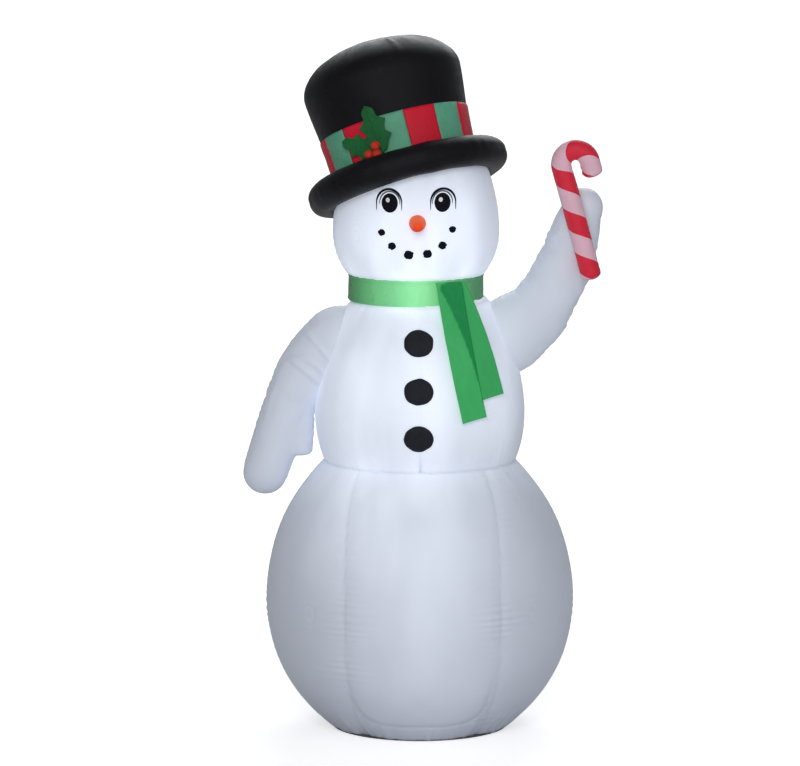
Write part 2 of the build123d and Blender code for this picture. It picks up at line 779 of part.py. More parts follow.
tether_frames = []
for bearing in TETHER_BEARINGS:
    upright = radial_plane(bearing, TETHER_EYELET[0], TETHER_EYELET[1])
    side = upright.x_dir if bearing > 90 else -upright.x_dir
    tether_frames.append(Plane(origin=upright.origin, x_dir=Vector(0, 0, 1), z_dir=side))
with BuildPart() as tether_tabs:
    with Locations(*tether_frames):
        Box(TAB_W, TETHER_TAB, TAB_T)
        Hole(TAB_HOLE_R)
    revolve(profiles=half_section(torso_outline, BODY, SEWN_GAP), axis=Axis.Z, mode=Mode.SUBTRACT)
save(tether_tabs, "tether_tabs")
save_eyelets(tether_frames, "tether_eyelets")

# Torso -----------------------------------------------------------------------------

with BuildPart() as torso_envelope:
    add(layer(torso_outline, BODY, 0, -SKIN_T))
save(torso_envelope, "torso_envelope")

with BuildPart() as coal_buttons:
    add(layer(torso_outline, BODY, SEWN_GAP + BUTTON_T, SEWN_GAP))
    with BuildSketch(Plane.XZ):
        with Locations(*[(BUTTON_X, height) for height in BUTTONS]):
            Circle(BUTTON_R)
    extrude(amount=REACH, mode=Mode.INTERSECT)
save(coal_buttons, "coal_buttons")

with BuildPart() as neck_band:
    add(layer(band_outline, HEAD, 0, -SKIN_T))
save(neck_band, "neck_band")

with BuildPart() as scarf_front_tail:
    add(tail(FRONT_TAIL))
save(scarf_front_tail, "scarf_front_tail")

with BuildPart() as scarf_back_tail:
    add(tail(BACK_TAIL))
save(scarf_back_tail, "scarf_back_tail")

# Arms and candy cane ---------------------------------------------------------------

with BuildPart() as hanging_arm:
    add(mitten_arm(HANGING_ARM, HANGING_THUMB))
save(hanging_arm, "hanging_arm")

with BuildPart() as raised_arm:
    add(mitten_arm(RAISED_ARM, RAISED_THUMB))
save(raised_arm, "raised_arm")

lean = math.radians(CANE_LEAN)
cane_plane = Plane(origin=CANE_FOOT, x_dir=(math.cos(lean), 0, math.sin(lean)), z_dir=(0, -1, 0))


def cane(radius, inset):
    """The cane's tube, shortened at both ends by an inset."""
    with BuildPart() as rod:
        with BuildLine(cane_plane) as path:
            Line((0, inset), (0, CANE_SHAFT))
            ThreePointArc(
                (0, CANE_SHAFT), (CANE_HOOK_R, CANE_SHAFT + CANE_HOOK_R), (2 * CANE_HOOK_R, CANE_SHAFT)
            )
            Line((2 * CANE_HOOK_R, CANE_SHAFT), (2 * CANE_HOOK_R, CANE_SHAFT - CANE_TIP + inset))
        with BuildSketch(Plane(origin=path.line @ 0, z_dir=path.line % 0)):
            Circle(radius)
        sweep()
    return rod.part


with BuildPart() as candy_cane:
    add(cane(CANE_R, 0))
    fillet(candy_cane.faces().filter_by(GeomType.PLANE).edges(), CANE_END)
    add(cane(CANE_R - SKIN_T, CANE_END), mode=Mode.SUBTRACT)
save(candy_cane, "candy_cane")

with BuildPart() as cane_tab:
    with BuildSketch(Plane(origin=(CANE_TAB[0], CANE_TAB_Y, CANE_TAB[1]), z_dir=(0, -1, 0))):
        Circle(CANE_TAB_R)
    extrude(amount=CANE_TAB_Y - CANE_FOOT[1] - CANE_R - SEWN_GAP)
save(cane_tab, "cane_tab")

# Head and face ---------------------------------------------------------------------

with BuildPart() as head_envelope:
    add(layer(head_outline, HEAD, 0, -SKIN_T))
    split(bisect_by=HAT.offset(-BRIM_TUBE_R - BRIM_GAP), keep=Keep.BOTTOM)
save(head_envelope, "head_envelope")

with BuildPart() as eye_pupils:
    add(layer(head_outline, HEAD, SEWN_GAP + PATCH_T, SEWN_GAP))
    with BuildSketch(Plane.XZ):
        with Locations(*EYES):
            Ellipse(*PUPIL)
    extrude(amount=REACH, mode=Mode.INTERSECT)
save(eye_pupils, "eye_pupils")

with BuildPart() as eye_outlines:
    add(layer(head_outline, HEAD, SEWN_GAP + PATCH_T, SEWN_GAP))
    with BuildSketch(Plane.XZ):
        with Locations(*EYES):
            Ellipse(*LASH)
            Ellipse(LASH[0] - LASH_T, LASH[1] - LASH_T, mode=Mode.SUBTRACT)
            Rectangle(3 * LASH[0], 2 * LASH[1], align=(Align.CENTER, Align.MAX), mode=Mode.SUBTRACT)
        for x, z in EYES:
            for side in (-1, 1):
                with Locations((x + side * (LASH[0] - LASH_T / 2), z)):
                    Rectangle(LASH_T, LASH_LEG, align=(Align.CENTER, Align.MAX))
    extrude(amount=REACH, mode=Mode.INTERSECT)
save(eye_outlines, "eye_outlines")

with BuildPart() as mouth_dots:
    add(layer(head_outline, HEAD, SEWN_GAP + PATCH_T, SEWN_GAP))
    with BuildSketch(Plane.XZ):
        for x, z, radius in MOUTH:
            with Locations((x, z)):
                Circle(radius)
    extrude(amount=REACH, mode=Mode.INTERSECT)
save(mouth_dots, "mouth_dots")

droop = math.radians(NOSE_DROOP)
nose_plane = Plane(origin=(NOSE[0], -HEAD_R, NOSE[1]), z_dir=(0, -math.cos(droop), -math.sin(droop)))

with BuildPart() as carrot_nose:
    with BuildSketch(nose_plane.offset(-NOSE_ROOT)):
        Circle(NOSE_R)
    with BuildSketch(nose_plane.offset(NOSE_LENGTH)):
        Circle(NOSE_TIP_R)
    loft()
    fillet(carrot_nose.edges().sort_by(Axis.Y)[0], NOSE_TIP_R - 0.5)
    revolve(
        profiles=half_section(head_outline, HEAD, SEWN_GAP),
        axis=Axis(HEAD.origin, (0, 0, 1)),
        mode=Mode.SUBTRACT,
    )
save(carrot_nose, "carrot_nose")

# Hat -------------------------------------------------------------------------------

with BuildPart() as hat_brim:
    with Locations(HAT):
        Torus(BRIM_R, BRIM_TUBE_R)
        Torus(BRIM_R, BRIM_TUBE_R - SKIN_T, mode=Mode.SUBTRACT)
save(hat_brim, "hat_brim")

with BuildPart() as hat_crown:
    add(layer(hat_outline, HAT, 0, -SKIN_T))
save(hat_crown, "hat_crown")


def save_stripes(first, name):
    """Write every second stripe of the hat band, starting with one of them."""
    cut = Plane(origin=HAT.origin + HAT.z_dir * STRIPE_LOW, x_dir=HAT.x_dir, z_dir=HAT.z_dir)
    half = STRIPE_ANGLE / 2 - 0.1
    with BuildPart() as stripes:
        add(layer(hat_outline, HAT, SEWN_GAP + SKIN_T, SEWN_GAP))
        with BuildSketch(cut):
            for index in range(first, STRIPES, 2):
                turn = STRIPE_EDGE - 90 + STRIPE_ANGLE * (index + 0.5)
                with BuildLine():
                    corners = [Vector(REACH, 0).rotate(Axis.Z, turn + side) for side in (-half, half)]
                    Polyline((0, 0), *corners, close=True)
                make_face()
        extrude(amount=STRIPE_HIGH - STRIPE_LOW, mode=Mode.INTERSECT)
    save(stripes, name)


save_stripes(0, "hat_band_red")
save_stripes(1, "hat_band_green")

holly_turn = math.radians(HOLLY_BEARING)
holly_out = HAT.x_dir * math.sin(holly_turn) - HAT.y_dir * math.cos(holly_turn)
holly_side = HAT.x_dir * math.cos(holly_turn) + HAT.y_dir * math.sin(holly_turn)
holly_origin = HAT.origin + HAT.z_dir * HOLLY_V
leaf_lift = HAT_LOW_R + 14
holly = Plane(origin=holly_origin + holly_out * leaf_lift, x_dir=holly_side, z_dir=holly_out)


def leaf(plane, length, width):
    """A pointed leaf with three hollows along each edge, growing along the plane's y."""
    with BuildPart() as blade:
        with BuildSketch(plane):
            with BuildLine():
                for side in (-1, 1):
                    shoulder = (side * width * 0.36, length * 0.10)
                    middle = (side * width * 0.5, length * 0.42)
                    upper = (side * width * 0.36, length * 0.72)
                    tip = (0, length)
                    Line((0, 0), shoulder)
                    ThreePointArc(shoulder, (side * width * 0.36, length * 0.27), middle)
                    ThreePointArc(middle, (side * width * 0.32, length * 0.56), upper)
                    ThreePointArc(upper, (side * width * 0.13, length * 0.82), tip)
            make_face()
        extrude(amount=LEAF_T)
    return blade.part


with BuildPart() as holly_leaves:
    add(leaf(turned(holly, 0, -2, SIDE_LEAF[2]), SIDE_LEAF[0], SIDE_LEAF[1]))
    above = Plane(holly.location * Location((TOP_LEAF_SHIFT, 0, LEAF_T + LEAF_GAP)))
    top_leaf = turned(above, 4, 0, TOP_LEAF[2])
    add(leaf(top_leaf, TOP_LEAF[0], TOP_LEAF[1]))
save(holly_leaves, "holly_leaves")

with BuildPart() as holly_berries:
    with Locations(holly.offset(2 * LEAF_T + 2 + BERRY_R)):
        with Locations(*BERRIES):
            Sphere(BERRY_R)
save(holly_berries, "holly_berries")

# Lamps and their wiring --------------------------------------------------------------

save_lamp(BALL_LAMP, "ball")
save_lamp(TORSO_LAMP, "torso")
save_lamp(HEAD_LAMP, "head")

for runs, name in ((BALL_HARNESS, "ball"), (TORSO_HARNESS, "torso"), (HEAD_HARNESS, "head")):
    with BuildPart() as harness:
        for points in runs:
            add(wire(points))
    save(harness, f"{name}_harness")
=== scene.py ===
"""The looks of the inflatable yard snowman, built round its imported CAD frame, in metres."""

import json
import math

import bpy
import numpy as np
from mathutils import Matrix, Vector

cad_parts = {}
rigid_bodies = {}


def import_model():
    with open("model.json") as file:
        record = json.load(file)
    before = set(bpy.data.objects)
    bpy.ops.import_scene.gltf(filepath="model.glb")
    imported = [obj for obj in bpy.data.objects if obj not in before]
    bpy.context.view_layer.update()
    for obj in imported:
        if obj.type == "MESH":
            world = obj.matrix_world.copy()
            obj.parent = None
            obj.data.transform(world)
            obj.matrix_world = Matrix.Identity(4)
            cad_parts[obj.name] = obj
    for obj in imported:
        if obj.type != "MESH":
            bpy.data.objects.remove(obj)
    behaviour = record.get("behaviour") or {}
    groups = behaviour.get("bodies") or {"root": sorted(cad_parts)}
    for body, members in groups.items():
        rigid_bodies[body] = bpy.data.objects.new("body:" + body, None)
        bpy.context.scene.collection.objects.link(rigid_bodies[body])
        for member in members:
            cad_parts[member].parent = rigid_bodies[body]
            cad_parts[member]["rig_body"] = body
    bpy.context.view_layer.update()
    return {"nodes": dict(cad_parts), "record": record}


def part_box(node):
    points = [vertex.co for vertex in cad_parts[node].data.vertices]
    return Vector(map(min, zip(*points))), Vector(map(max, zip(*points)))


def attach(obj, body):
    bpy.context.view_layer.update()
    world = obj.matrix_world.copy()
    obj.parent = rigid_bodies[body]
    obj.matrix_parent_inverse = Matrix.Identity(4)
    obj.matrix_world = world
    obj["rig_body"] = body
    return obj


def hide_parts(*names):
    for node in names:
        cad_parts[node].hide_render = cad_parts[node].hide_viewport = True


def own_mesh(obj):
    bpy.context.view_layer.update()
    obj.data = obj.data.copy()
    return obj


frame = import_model()
SCENE = bpy.context.scene
NODES = frame["nodes"]
TAU = 2 * math.pi


# --- Outlines, read from the CAD skins ---

RING_SLACK = 0.003
ARC_STEPS, CURVE_STEPS = 40, 60


def skin_rings(node, centre_x=0.0):
    """The widest, the lowest and the highest ring of a CAD skin, each as (radius, height)."""
    points = np.array([v.co for v in NODES[node].data.vertices])
    radii, heights = np.hypot(points[:, 0] - centre_x, points[:, 1]), points[:, 2]
    widest = radii.argmax()
    ends = [(radii[np.abs(heights - z) < RING_SLACK].max(), z) for z in (heights.min(), heights.max())]
    return (radii[widest], heights[widest]), *ends


def tangent_arc(widest, end):
    """Points of the arc that leaves its widest ring vertically and ends at another ring."""
    inward, span = widest[0] - end[0], end[1] - widest[1]
    radius = (inward**2 + span**2) / (2 * inward)
    heights = np.linspace(widest[1], end[1], ARC_STEPS)
    return widest[0] - radius + np.sqrt(radius**2 - (heights - widest[1]) ** 2), heights


def bezier(*points):
    """Points of a cubic curve."""
    t = np.linspace(0, 1, CURVE_STEPS)[:, None]
    a, b, c, d = (np.array(p, float) for p in points)
    curve = (1 - t) ** 3 * a + 3 * (1 - t) ** 2 * t * b + 3 * (1 - t) * t**2 * c + t**3 * d
    return curve[:, 0], curve[:, 1]


def joined(*stretches):
    """One outline, from bottom to top, as (radii, heights)."""
    radii, heights = (np.concatenate(values) for values in zip(*stretches))
    order = np.argsort(heights, kind="stable")
    return radii[order], heights[order]


ball_wide, ball_low, ball_high = skin_rings("ball_envelope")
BALL = joined(tangent_arc(ball_wide, ball_low), tangent_arc(ball_wide, ball_high))

CHEST_HANDLE_Z, SHOULDER_HANDLE = 1.060, (0.276, 1.260)
torso_wide, torso_low, torso_high = skin_rings("torso_envelope")
shoulders = bezier(torso_wide, (torso_wide[0], CHEST_HANDLE_Z), SHOULDER_HANDLE, torso_high)
TORSO = joined(tangent_arc(torso_wide, torso_low), shoulders)

band_min, band_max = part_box("neck_band")
BAND_LOW, BAND_HIGH = band_min.z, band_max.z
BAND_R = (band_max.x - band_min.x) / 2
HEAD_X = (band_min.x + band_max.x) / 2

HEAD_RISE, HEAD_TOP_IN = 0.235, 0.050    # the head narrows on its way up into the hat
head_wide, head_low, _ = skin_rings("head_envelope", HEAD_X)
HEAD_TOP = head_wide[1] + HEAD_RISE
HEAD = joined(
    tangent_arc(head_wide, head_low),
    tangent_arc(head_wide, (head_wide[0] - HEAD_TOP_IN, HEAD_TOP)),
)

# The hat's own frame: its centre is the middle of the brim.
ROLL, TILT = math.radians(15.6), math.radians(14.8)
HAT_ORIGIN = sum(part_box("hat_brim"), Vector()) / 2
HAT_X = Vector((math.cos(ROLL), 0, math.sin(ROLL)))
HAT_UP = Vector((-math.sin(ROLL) * math.cos(TILT), math.sin(TILT), math.cos(ROLL) * math.cos(TILT)))
HAT_Y = HAT_UP.cross(HAT_X)
HAT_FOOT, HAT_EDGE, HAT_HEIGHT = 0.010, 0.300, 0.430
HAT = joined(
    bezier((0.220, HAT_FOOT), (0.220, 0.150), (0.240, 0.230), (0.244, HAT_EDGE)),
    bezier((0.244, HAT_EDGE), (0.244, 0.372), (0.135, HAT_HEIGHT), (0.0, HAT_HEIGHT)),
)


# --- Smooth repeatable unevenness ---

SINES = 5
RATE_STEP, RATE_DRIFT = 0.37, 0.13       # each sine is faster than the one before, by an uneven step
RATE_SEED, SHIFT_SEED = 12.9, 2.17       # how a seed spreads over the rates and the shifts
FADE, SUM_HEIGHT = 0.3, 2.2


def sines(angle_at, seed):
    """A wandering wave of about unit height: sines whose rates don't line up."""
    total = 0.0
    for k in range(SINES):
        rate = 1.0 + RATE_STEP * k + RATE_DRIFT * np.sin(seed * RATE_SEED + k)
        total = total + np.sin(angle_at(rate) + seed * (k + 1) * SHIFT_SEED) / (1 + FADE * k)
    return total / SUM_HEIGHT


def ripple(u, seed):
    """A wandering wave along a line."""
    return sines(lambda rate: u * rate * TAU, seed)


def around(theta, seed, count):
    """A wandering wave that closes on itself, with about this many swells round a ring."""
    return sines(lambda rate: theta * max(1, round(count * rate)), seed)


def ripple2(u, v, seed):
    """Unevenness over a surface."""
    along = ripple(u + 0.31 * ripple(v, seed + 1), seed)
    return 0.5 * (along + ripple(v - 0.27 * ripple(u, seed + 2), seed + 3))


def swell(theta, z, seed, count, rate):
    """Unevenness over a round skin, closing on itself."""
    lean = 0.3 * ripple(z * rate, seed + 1) / count
    along = ripple(z * rate + 0.2 * around(theta, seed + 2, count), seed + 3)
    return 0.5 * (around(theta + lean, seed, count) + along)


def wrap_angle(angle):
    """An angle brought to between -180 and 180 degrees, in radians."""
    return (angle + math.pi) % TAU - math.pi


def bell(distance, width):
    """One at no distance, fading to nothing over about twice the width."""
    return np.exp(-((distance / width) ** 2))


def seam_distance(theta, radius, seams):
    """Distance along a ring to the nearest vertical seam, and that seam's number."""
    gaps = np.stack([np.abs(wrap_angle(theta - math.radians(seam))) for seam in seams])
    return gaps.min(0) * radius, gaps.argmin(0)


# --- Meshes ---


def circle(count):
    """Angles spread evenly round a circle."""
    return np.linspace(0, TAU, count, endpoint=False)


def turned(radius, theta, height, centre_x=0.0):
    """Points round an upright axis, at one height or at many. Angle 0 is the front."""
    return np.stack([centre_x + radius * np.sin(theta), -radius * np.cos(theta), height + 0 * radius], -1)


def in_hat(points):
    """Points of the hat's own frame, brought to the row frame."""
    return points @ np.array([HAT_X, HAT_Y, HAT_UP]) + np.array(HAT_ORIGIN)


def new_piece(name, points, faces, material, body):
    """A smooth mesh that rides on a body."""
    mesh = bpy.data.meshes.new(name)
    mesh.from_pydata(points.reshape(-1, 3).tolist(), [], faces)
    mesh.validate()
    mesh.shade_smooth()
    piece = bpy.data.objects.new(name, mesh)
    SCENE.collection.objects.link(piece)
    mesh.materials.append(material)
    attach(piece, body)
    return piece


def quads(rows, columns, ring=False):
    """Faces of a grid closed round its columns, and round its rows too if it is a ring.

    They look outward when the rows run upward and the columns turn from -Y to +X.
    """
    faces = []
    for i in range(rows if ring else rows - 1):
        low, high = i * columns, (i + 1) % rows * columns
        for j in range(columns):
            k = (j + 1) % columns
            faces.append((low + j, low + k, high + k, high + j))
    return faces


def closed_skin(name, grid, material, body):
    """A piece through a grid closed round its columns, with a fan over each end."""
    rows, columns = grid.shape[:2]
    points = np.concatenate([grid.reshape(-1, 3), [grid[0].mean(0), grid[-1].mean(0)]])
    faces = quads(rows, columns)
    bottom, top = rows * columns, rows * columns + 1
    last = (rows - 1) * columns
    for j in range(columns):
        k = (j + 1) % columns
        faces.append((bottom, k, j))
        faces.append((top, last + j, last + k))
    return new_piece(name, points, faces, material, body)


def ring_skin(name, grid, material, body):
    """A piece through a grid that closes both ways."""
    return new_piece(name, grid, quads(*grid.shape[:2], ring=True), material, body)


def sheet_skin(name, front, back, material, body):
    """A closed thin piece between two grids of the same size."""
    return closed_skin(name, np.concatenate([front, back[:, ::-1]], axis=1), material, body)


def lathe(shape, heights, columns, centre_x=0.0):
    """A grid round an upright axis. shape gives the radius at (theta, height)."""
    theta, z = np.meshgrid(circle(columns), heights)
    return turned(shape(theta, z), theta, z, centre_x)


def mark(piece, name, values):
    """Give every vertex of a piece a number its material can read."""
    attribute = piece.data.attributes.new(name, "FLOAT", "POINT")
    attribute.data.foreach_set("value", np.asarray(values, np.float32))


def mark_seam_shade(piece, seam_share, centre_x=0.0):
    """Mark a round skin's sewn lines for the painted seam shade, given how much of a seam there is at (theta,
    radius, height).
    """
    points = np.array([v.co for v in piece.data.vertices])
    across = points[:, 0] - centre_x
    theta = np.arctan2(across, -points[:, 1])
    mark(piece, "seam", np.clip(seam_share(theta, np.hypot(across, points[:, 1]), points[:, 2]), 0, 1))


def join(name, pieces):
    """Several pieces of one material joined as one."""
    with bpy.context.temp_override(
        active_object=pieces[0], object=pieces[0], selected_objects=pieces, selected_editable_objects=pieces
    ):
        bpy.ops.object.join()
    pieces[0].name = name
    pieces[0].data.name = name
    return pieces[0]


def slump(piece):
    """Give a soft piece a mesh of its own."""
    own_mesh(piece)


def stands_for(piece, node):
    """Take the place of a CAD node, which is hidden."""
    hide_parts(node)


def settle(piece, node):
    """Stand for a CAD node and take a mesh of its own."""
    stands_for(piece, node)
    slump(piece)


# --- Materials ---

SHADER_INPUTS = {
    "colour": "Base Color", "roughness": "Roughness", "gloss": "Specular IOR Level", "metallic": "Metallic",
    "sheen": "Sheen Weight", "sheen_roughness": "Sheen Roughness", "alpha": "Alpha",
    "light_colour": "Emission Color", "light": "Emission Strength",
}


class Recipe:
    """A procedural material under construction."""

    def __init__(self, name):
        self.material = bpy.data.materials.new(name)
        self.material.use_nodes = True
        self.tree = self.material.node_tree
        self.shader = self.tree.nodes["Principled BSDF"]
        self.place = self.add("ShaderNodeNewGeometry").outputs["Position"]

    def add(self, kind, **settings):
        node = self.tree.nodes.new(kind)
        for key, value in settings.items():
            setattr(node, key, value)
        return node

    def feed(self, socket, value):
        """Link a socket to another node's output, or set it to a number or a colour."""
        if hasattr(value, "is_output"):
            self.tree.links.new(value, socket)
        else:
            socket.default_value = (*value, 1) if isinstance(value, tuple) else value

    def look(self, **inputs):
        for name, value in inputs.items():
            self.feed(self.shader.inputs[SHADER_INPUTS[name]], value)

    def maths(self, operation, *values):
        node = self.add("ShaderNodeMath", operation=operation)
        for socket, value in zip(node.inputs, values):
            self.feed(socket, value)
        return node.outputs[0]

    def axes(self):
        """The X, Y and Z of the place on the surface."""
        split = self.add("ShaderNodeSeparateXYZ")
        self.feed(split.inputs[0], self.place)
        return split.outputs

    def distance(self, centre):
        """How far the place on the surface is from a point."""
        gap = self.add("ShaderNodeVectorMath", operation="DISTANCE")
        self.feed(gap.inputs[0], self.place)
        gap.inputs[1].default_value = centre
        return gap.outputs["Value"]

    def noise(self, scale, detail=3.0, stretch=(1, 1, 1)):
        """Noise over the surface, finer along an axis with a larger stretch."""
        squeeze = self.add("ShaderNodeVectorMath", operation="MULTIPLY")
        squeeze.inputs[1].default_value = stretch
        self.feed(squeeze.inputs[0], self.place)
        node = self.add("ShaderNodeTexNoise")
        node.inputs["Scale"].default_value = scale
        node.inputs["Detail"].default_value = detail
        self.feed(node.inputs["Vector"], squeeze.outputs[0])
        return node.outputs["Fac"]

    def threads(self, pitch):
        """A plain weave: threads of a pitch along all three axes."""
        x, y, z = (self.maths("SINE", self.maths("MULTIPLY", axis, TAU / pitch)) for axis in self.axes())
        return self.maths("ADD", self.maths("MULTIPLY", x, z), self.maths("MULTIPLY", y, z))

    def ramp(self, value, stops):
        """Colours along a value, as (place, colour) stops."""
        node = self.add("ShaderNodeValToRGB")
        band = node.color_ramp
        while len(band.elements) < len(stops):
            band.elements.new(0.5)
        for element, (place, colour) in zip(band.elements, stops):
            element.position = place
            element.color = (*colour, 1)
        self.feed(node.inputs[0], value)
        return node.outputs["Color"]

    def mix(self, factor, low, high):
        """A colour between two others."""
        node = self.add("ShaderNodeMix", data_type="RGBA")
        share, first, second = node.inputs[0], node.inputs[6], node.inputs[7]
        for socket, value in ((share, factor), (first, low), (second, high)):
            self.feed(socket, value)
        return node.outputs[2]

    def speckle(self, colour, spread, scale, detail):
        """A colour that is a little darker and lighter in patches."""
        return self.mix(self.noise(scale, detail), shade(colour, 1 - spread), shade(colour, 1 + spread))

    def attribute(self, name):
        return self.add("ShaderNodeAttribute", attribute_name=name).outputs["Fac"]

    def bump(self, *layers):
        """Bumps laid over each other, as (height socket, distance in metres)."""
        normal = None
        for height, distance in layers:
            node = self.add("ShaderNodeBump")
            node.inputs["Strength"].default_value = 1.0
            node.inputs["Distance"].default_value = distance
            self.feed(node.inputs["Height"], height)
            if normal:
                self.feed(node.inputs["Normal"], normal)
            normal = node.outputs["Normal"]
        self.feed(self.shader.inputs["Normal"], normal)


def shade(colour, factor):
    return tuple(min(1.0, channel * factor) for channel in colour)


def cloth(name, colour, roughness=0.5, sheen=0.15, gloss=0.35, thread=0.0016, depth=0.00012, uneven=0.12,
          creases=0.0012):
    """A woven fabric: threads, soft creases, uneven shine, and a slightly uneven colour if one is given."""
    recipe = Recipe(name)
    if colour:
        recipe.look(colour=recipe.speckle(colour, uneven, scale=9, detail=4))
    shine = recipe.maths("MULTIPLY_ADD", recipe.noise(24, 2), 0.18, roughness - 0.09)
    recipe.look(roughness=shine, gloss=gloss, sheen=sheen, sheen_roughness=0.4)
    recipe.bump((recipe.noise(11, 5), creases), (recipe.threads(thread), depth))
    return recipe


GLOW_FALLOFF = 1.6
# How much the painted glow is streaked, and how much painted shade dims it along the seams
STREAK_GAIN, STREAK_FLOOR = 1.4, 0.30
PAINTED_SEAM_SHADE = 0.75


def painted_glow_at(recipe, centre, reach, strength):
    """Painted light: a glow that fades with distance from a point inside the figure."""
    near = recipe.maths("SUBTRACT", 1.0, recipe.maths("DIVIDE", recipe.distance(centre), reach))
    falloff = recipe.maths("POWER", recipe.maths("MAXIMUM", near, 0.0), GLOW_FALLOFF)
    return recipe.maths("MULTIPLY", falloff, strength)


# Painted glow patches, standing in for the lamps' light through the fabric and for bright patches of studio
# light, set where the figure should look brightest: (centre, reach, strength)
BODY_PAINTED_GLOWS = (
    ((0.00, -0.03, 1.55), 0.43, 0.75),
    ((HEAD_X, -0.13, 1.53), 0.31, 0.68),
    ((-0.03, -0.03, 1.08), 0.56, 0.90),
    ((0.02, -0.17, 0.98), 0.34, 0.30),
    ((-0.16, -0.16, 0.62), 0.36, 0.34),
    ((-0.01, -0.26, 0.58), 0.38, 0.52),
    ((-0.01, -0.30, 0.28), 0.36, 0.30),
    ((-0.01, 0.28, 0.50), 0.36, 0.35),
)
# A faint painted glow over the sleeves, and a painted glow on the front of the neck band
ARM_PAINTED_GLOWS = (((0.00, -0.03, 1.10), 1.50, 0.13),)
BAND_PAINTED_GLOW = ((HEAD_X - 0.02, -0.12, 1.356), 0.22, 0.75)


def snow_cloth(name, glows):
    """White coated polyester with painted light: painted glow in upright streaks, and painted shade darkening
    its seams.
    """
    recipe = cloth(name, None, 0.42, 0.1, creases=0.0016)
    light = 0.0
    for glow in glows:
        light = recipe.maths("ADD", painted_glow_at(recipe, *glow), light)
    # Painted light streaks: upright noise makes the painted glow streaky
    upright = recipe.noise(7, 2, stretch=(1, 1, 0.22))
    streaks = recipe.maths("MULTIPLY_ADD", upright, STREAK_GAIN, STREAK_FLOOR)
    # Painted shade along the seams: less painted glow there
    clear_of_seam_shade = recipe.maths("MULTIPLY_ADD", recipe.attribute("seam"), -PAINTED_SEAM_SHADE, 1.0)
    light = recipe.maths("MULTIPLY", recipe.maths("MULTIPLY", light, streaks), clear_of_seam_shade)
    pale = recipe.mix(recipe.noise(9, 4), (0.71, 0.765, 0.88), (0.75, 0.805, 0.92))
    # Painted shade: the seams' colour is darkened towards blue-grey
    colour = recipe.mix(recipe.attribute("seam"), pale, (0.50, 0.54, 0.64))
    recipe.look(colour=colour, light_colour=(0.82, 0.88, 1.0), light=light)
    return recipe.material


def candy_cloth():
    """White fabric with slanted red stripes along the cane, and a faint painted glow."""
    recipe = cloth("candy_stripe_polyester", None, 0.36, 0.03)
    white = recipe.maths("GREATER_THAN", recipe.maths("FRACT", recipe.attribute("stripe")), 0.5)
    soft = recipe.noise(14, 3)
    red = recipe.mix(soft, (0.66, 0.010, 0.035), (0.80, 0.022, 0.060))
    pink = recipe.mix(soft, (0.76, 0.42, 0.52), (0.84, 0.54, 0.64))
    # Painted glow: the cane gives off faint light though it holds no lamp
    glow = recipe.mix(white, (0.8, 0.01, 0.03), (0.9, 0.7, 0.9))
    recipe.look(colour=recipe.mix(white, red, pink), light_colour=glow, light=0.05)
    return recipe.material


def nose_cloth():
    """Orange fabric with a painted glow standing in for the head lamp's light coming through, and painted
    shade that makes it darker and redder underneath.
    """
    recipe = cloth("carrot_orange_polyester", None, 0.5, 0.0, gloss=0.15)
    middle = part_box("carrot_nose")[1].z - 0.026
    steep = 30.0
    # Painted shade: the colour darkens towards the bottom of the nose
    lower = recipe.maths("MULTIPLY_ADD", recipe.axes()[2], -steep, 0.4 + steep * middle)
    stops = ((0.0, (0.95, 0.13, 0.020)), (0.55, (0.92, 0.07, 0.010)), (1.0, (0.62, 0.015, 0.005)))
    orange = recipe.ramp(lower, stops)
    recipe.look(colour=orange, light_colour=orange, light=0.30)
    return recipe.material


def scarf_cloth():
    """Green satin with a painted glow, and painted shade where the tails overlap."""
    recipe = cloth("scarf_green_satin", None, 0.36, 0.04, thread=0.0011, creases=0.0008)
    single_layer = recipe.mix(recipe.noise(7, 2), (0.030, 0.38, 0.10), (0.055, 0.46, 0.14))
    # Painted shade where one tail lies over the other
    green = recipe.mix(recipe.attribute("overlap_shade"), single_layer, (0.001, 0.235, 0.056))
    # Painted glow: the satin gives off light of its own colour
    recipe.look(colour=green, light_colour=green, light=0.22)
    return recipe.material


def band_cloth():
    """The scarf's neck band: satin, with a painted highlight down its middle, painted shade towards its
    sides, and a painted glow on its front standing in for light from inside.
    """
    recipe = cloth("neck_band_satin", None, 0.3, 0.05, thread=0.0011, creases=0.0008)
    # Painted light across the band: a painted highlight in the middle and painted shade towards the sides
    across = recipe.maths("MULTIPLY_ADD", recipe.axes()[0], 2.4, 0.5)
    stops = (
        (0.0, (0.05, 0.30, 0.10)), (0.30, (0.16, 0.50, 0.24)), (0.46, (0.30, 0.80, 0.40)),
        (0.55, (0.28, 0.72, 0.36)), (0.75, (0.14, 0.46, 0.20)), (1.0, (0.06, 0.34, 0.12)),
    )
    green = recipe.ramp(across, stops)
    recipe.look(colour=green, light_colour=(0.3, 1.0, 0.4), light=painted_glow_at(recipe, *BAND_PAINTED_GLOW))
    return recipe.material


def plastic(name, colour, roughness):
    """Moulded plastic: fine spark grain, faint flow marks and handling wear."""
    recipe = Recipe(name)
    shine = recipe.maths("MULTIPLY_ADD", recipe.noise(90, 3), 0.2, roughness - 0.1)
    recipe.look(colour=recipe.speckle(colour, 0.06, scale=35, detail=4), roughness=shine)
    recipe.bump((recipe.noise(1400, 2), 0.00008))
    return recipe.material


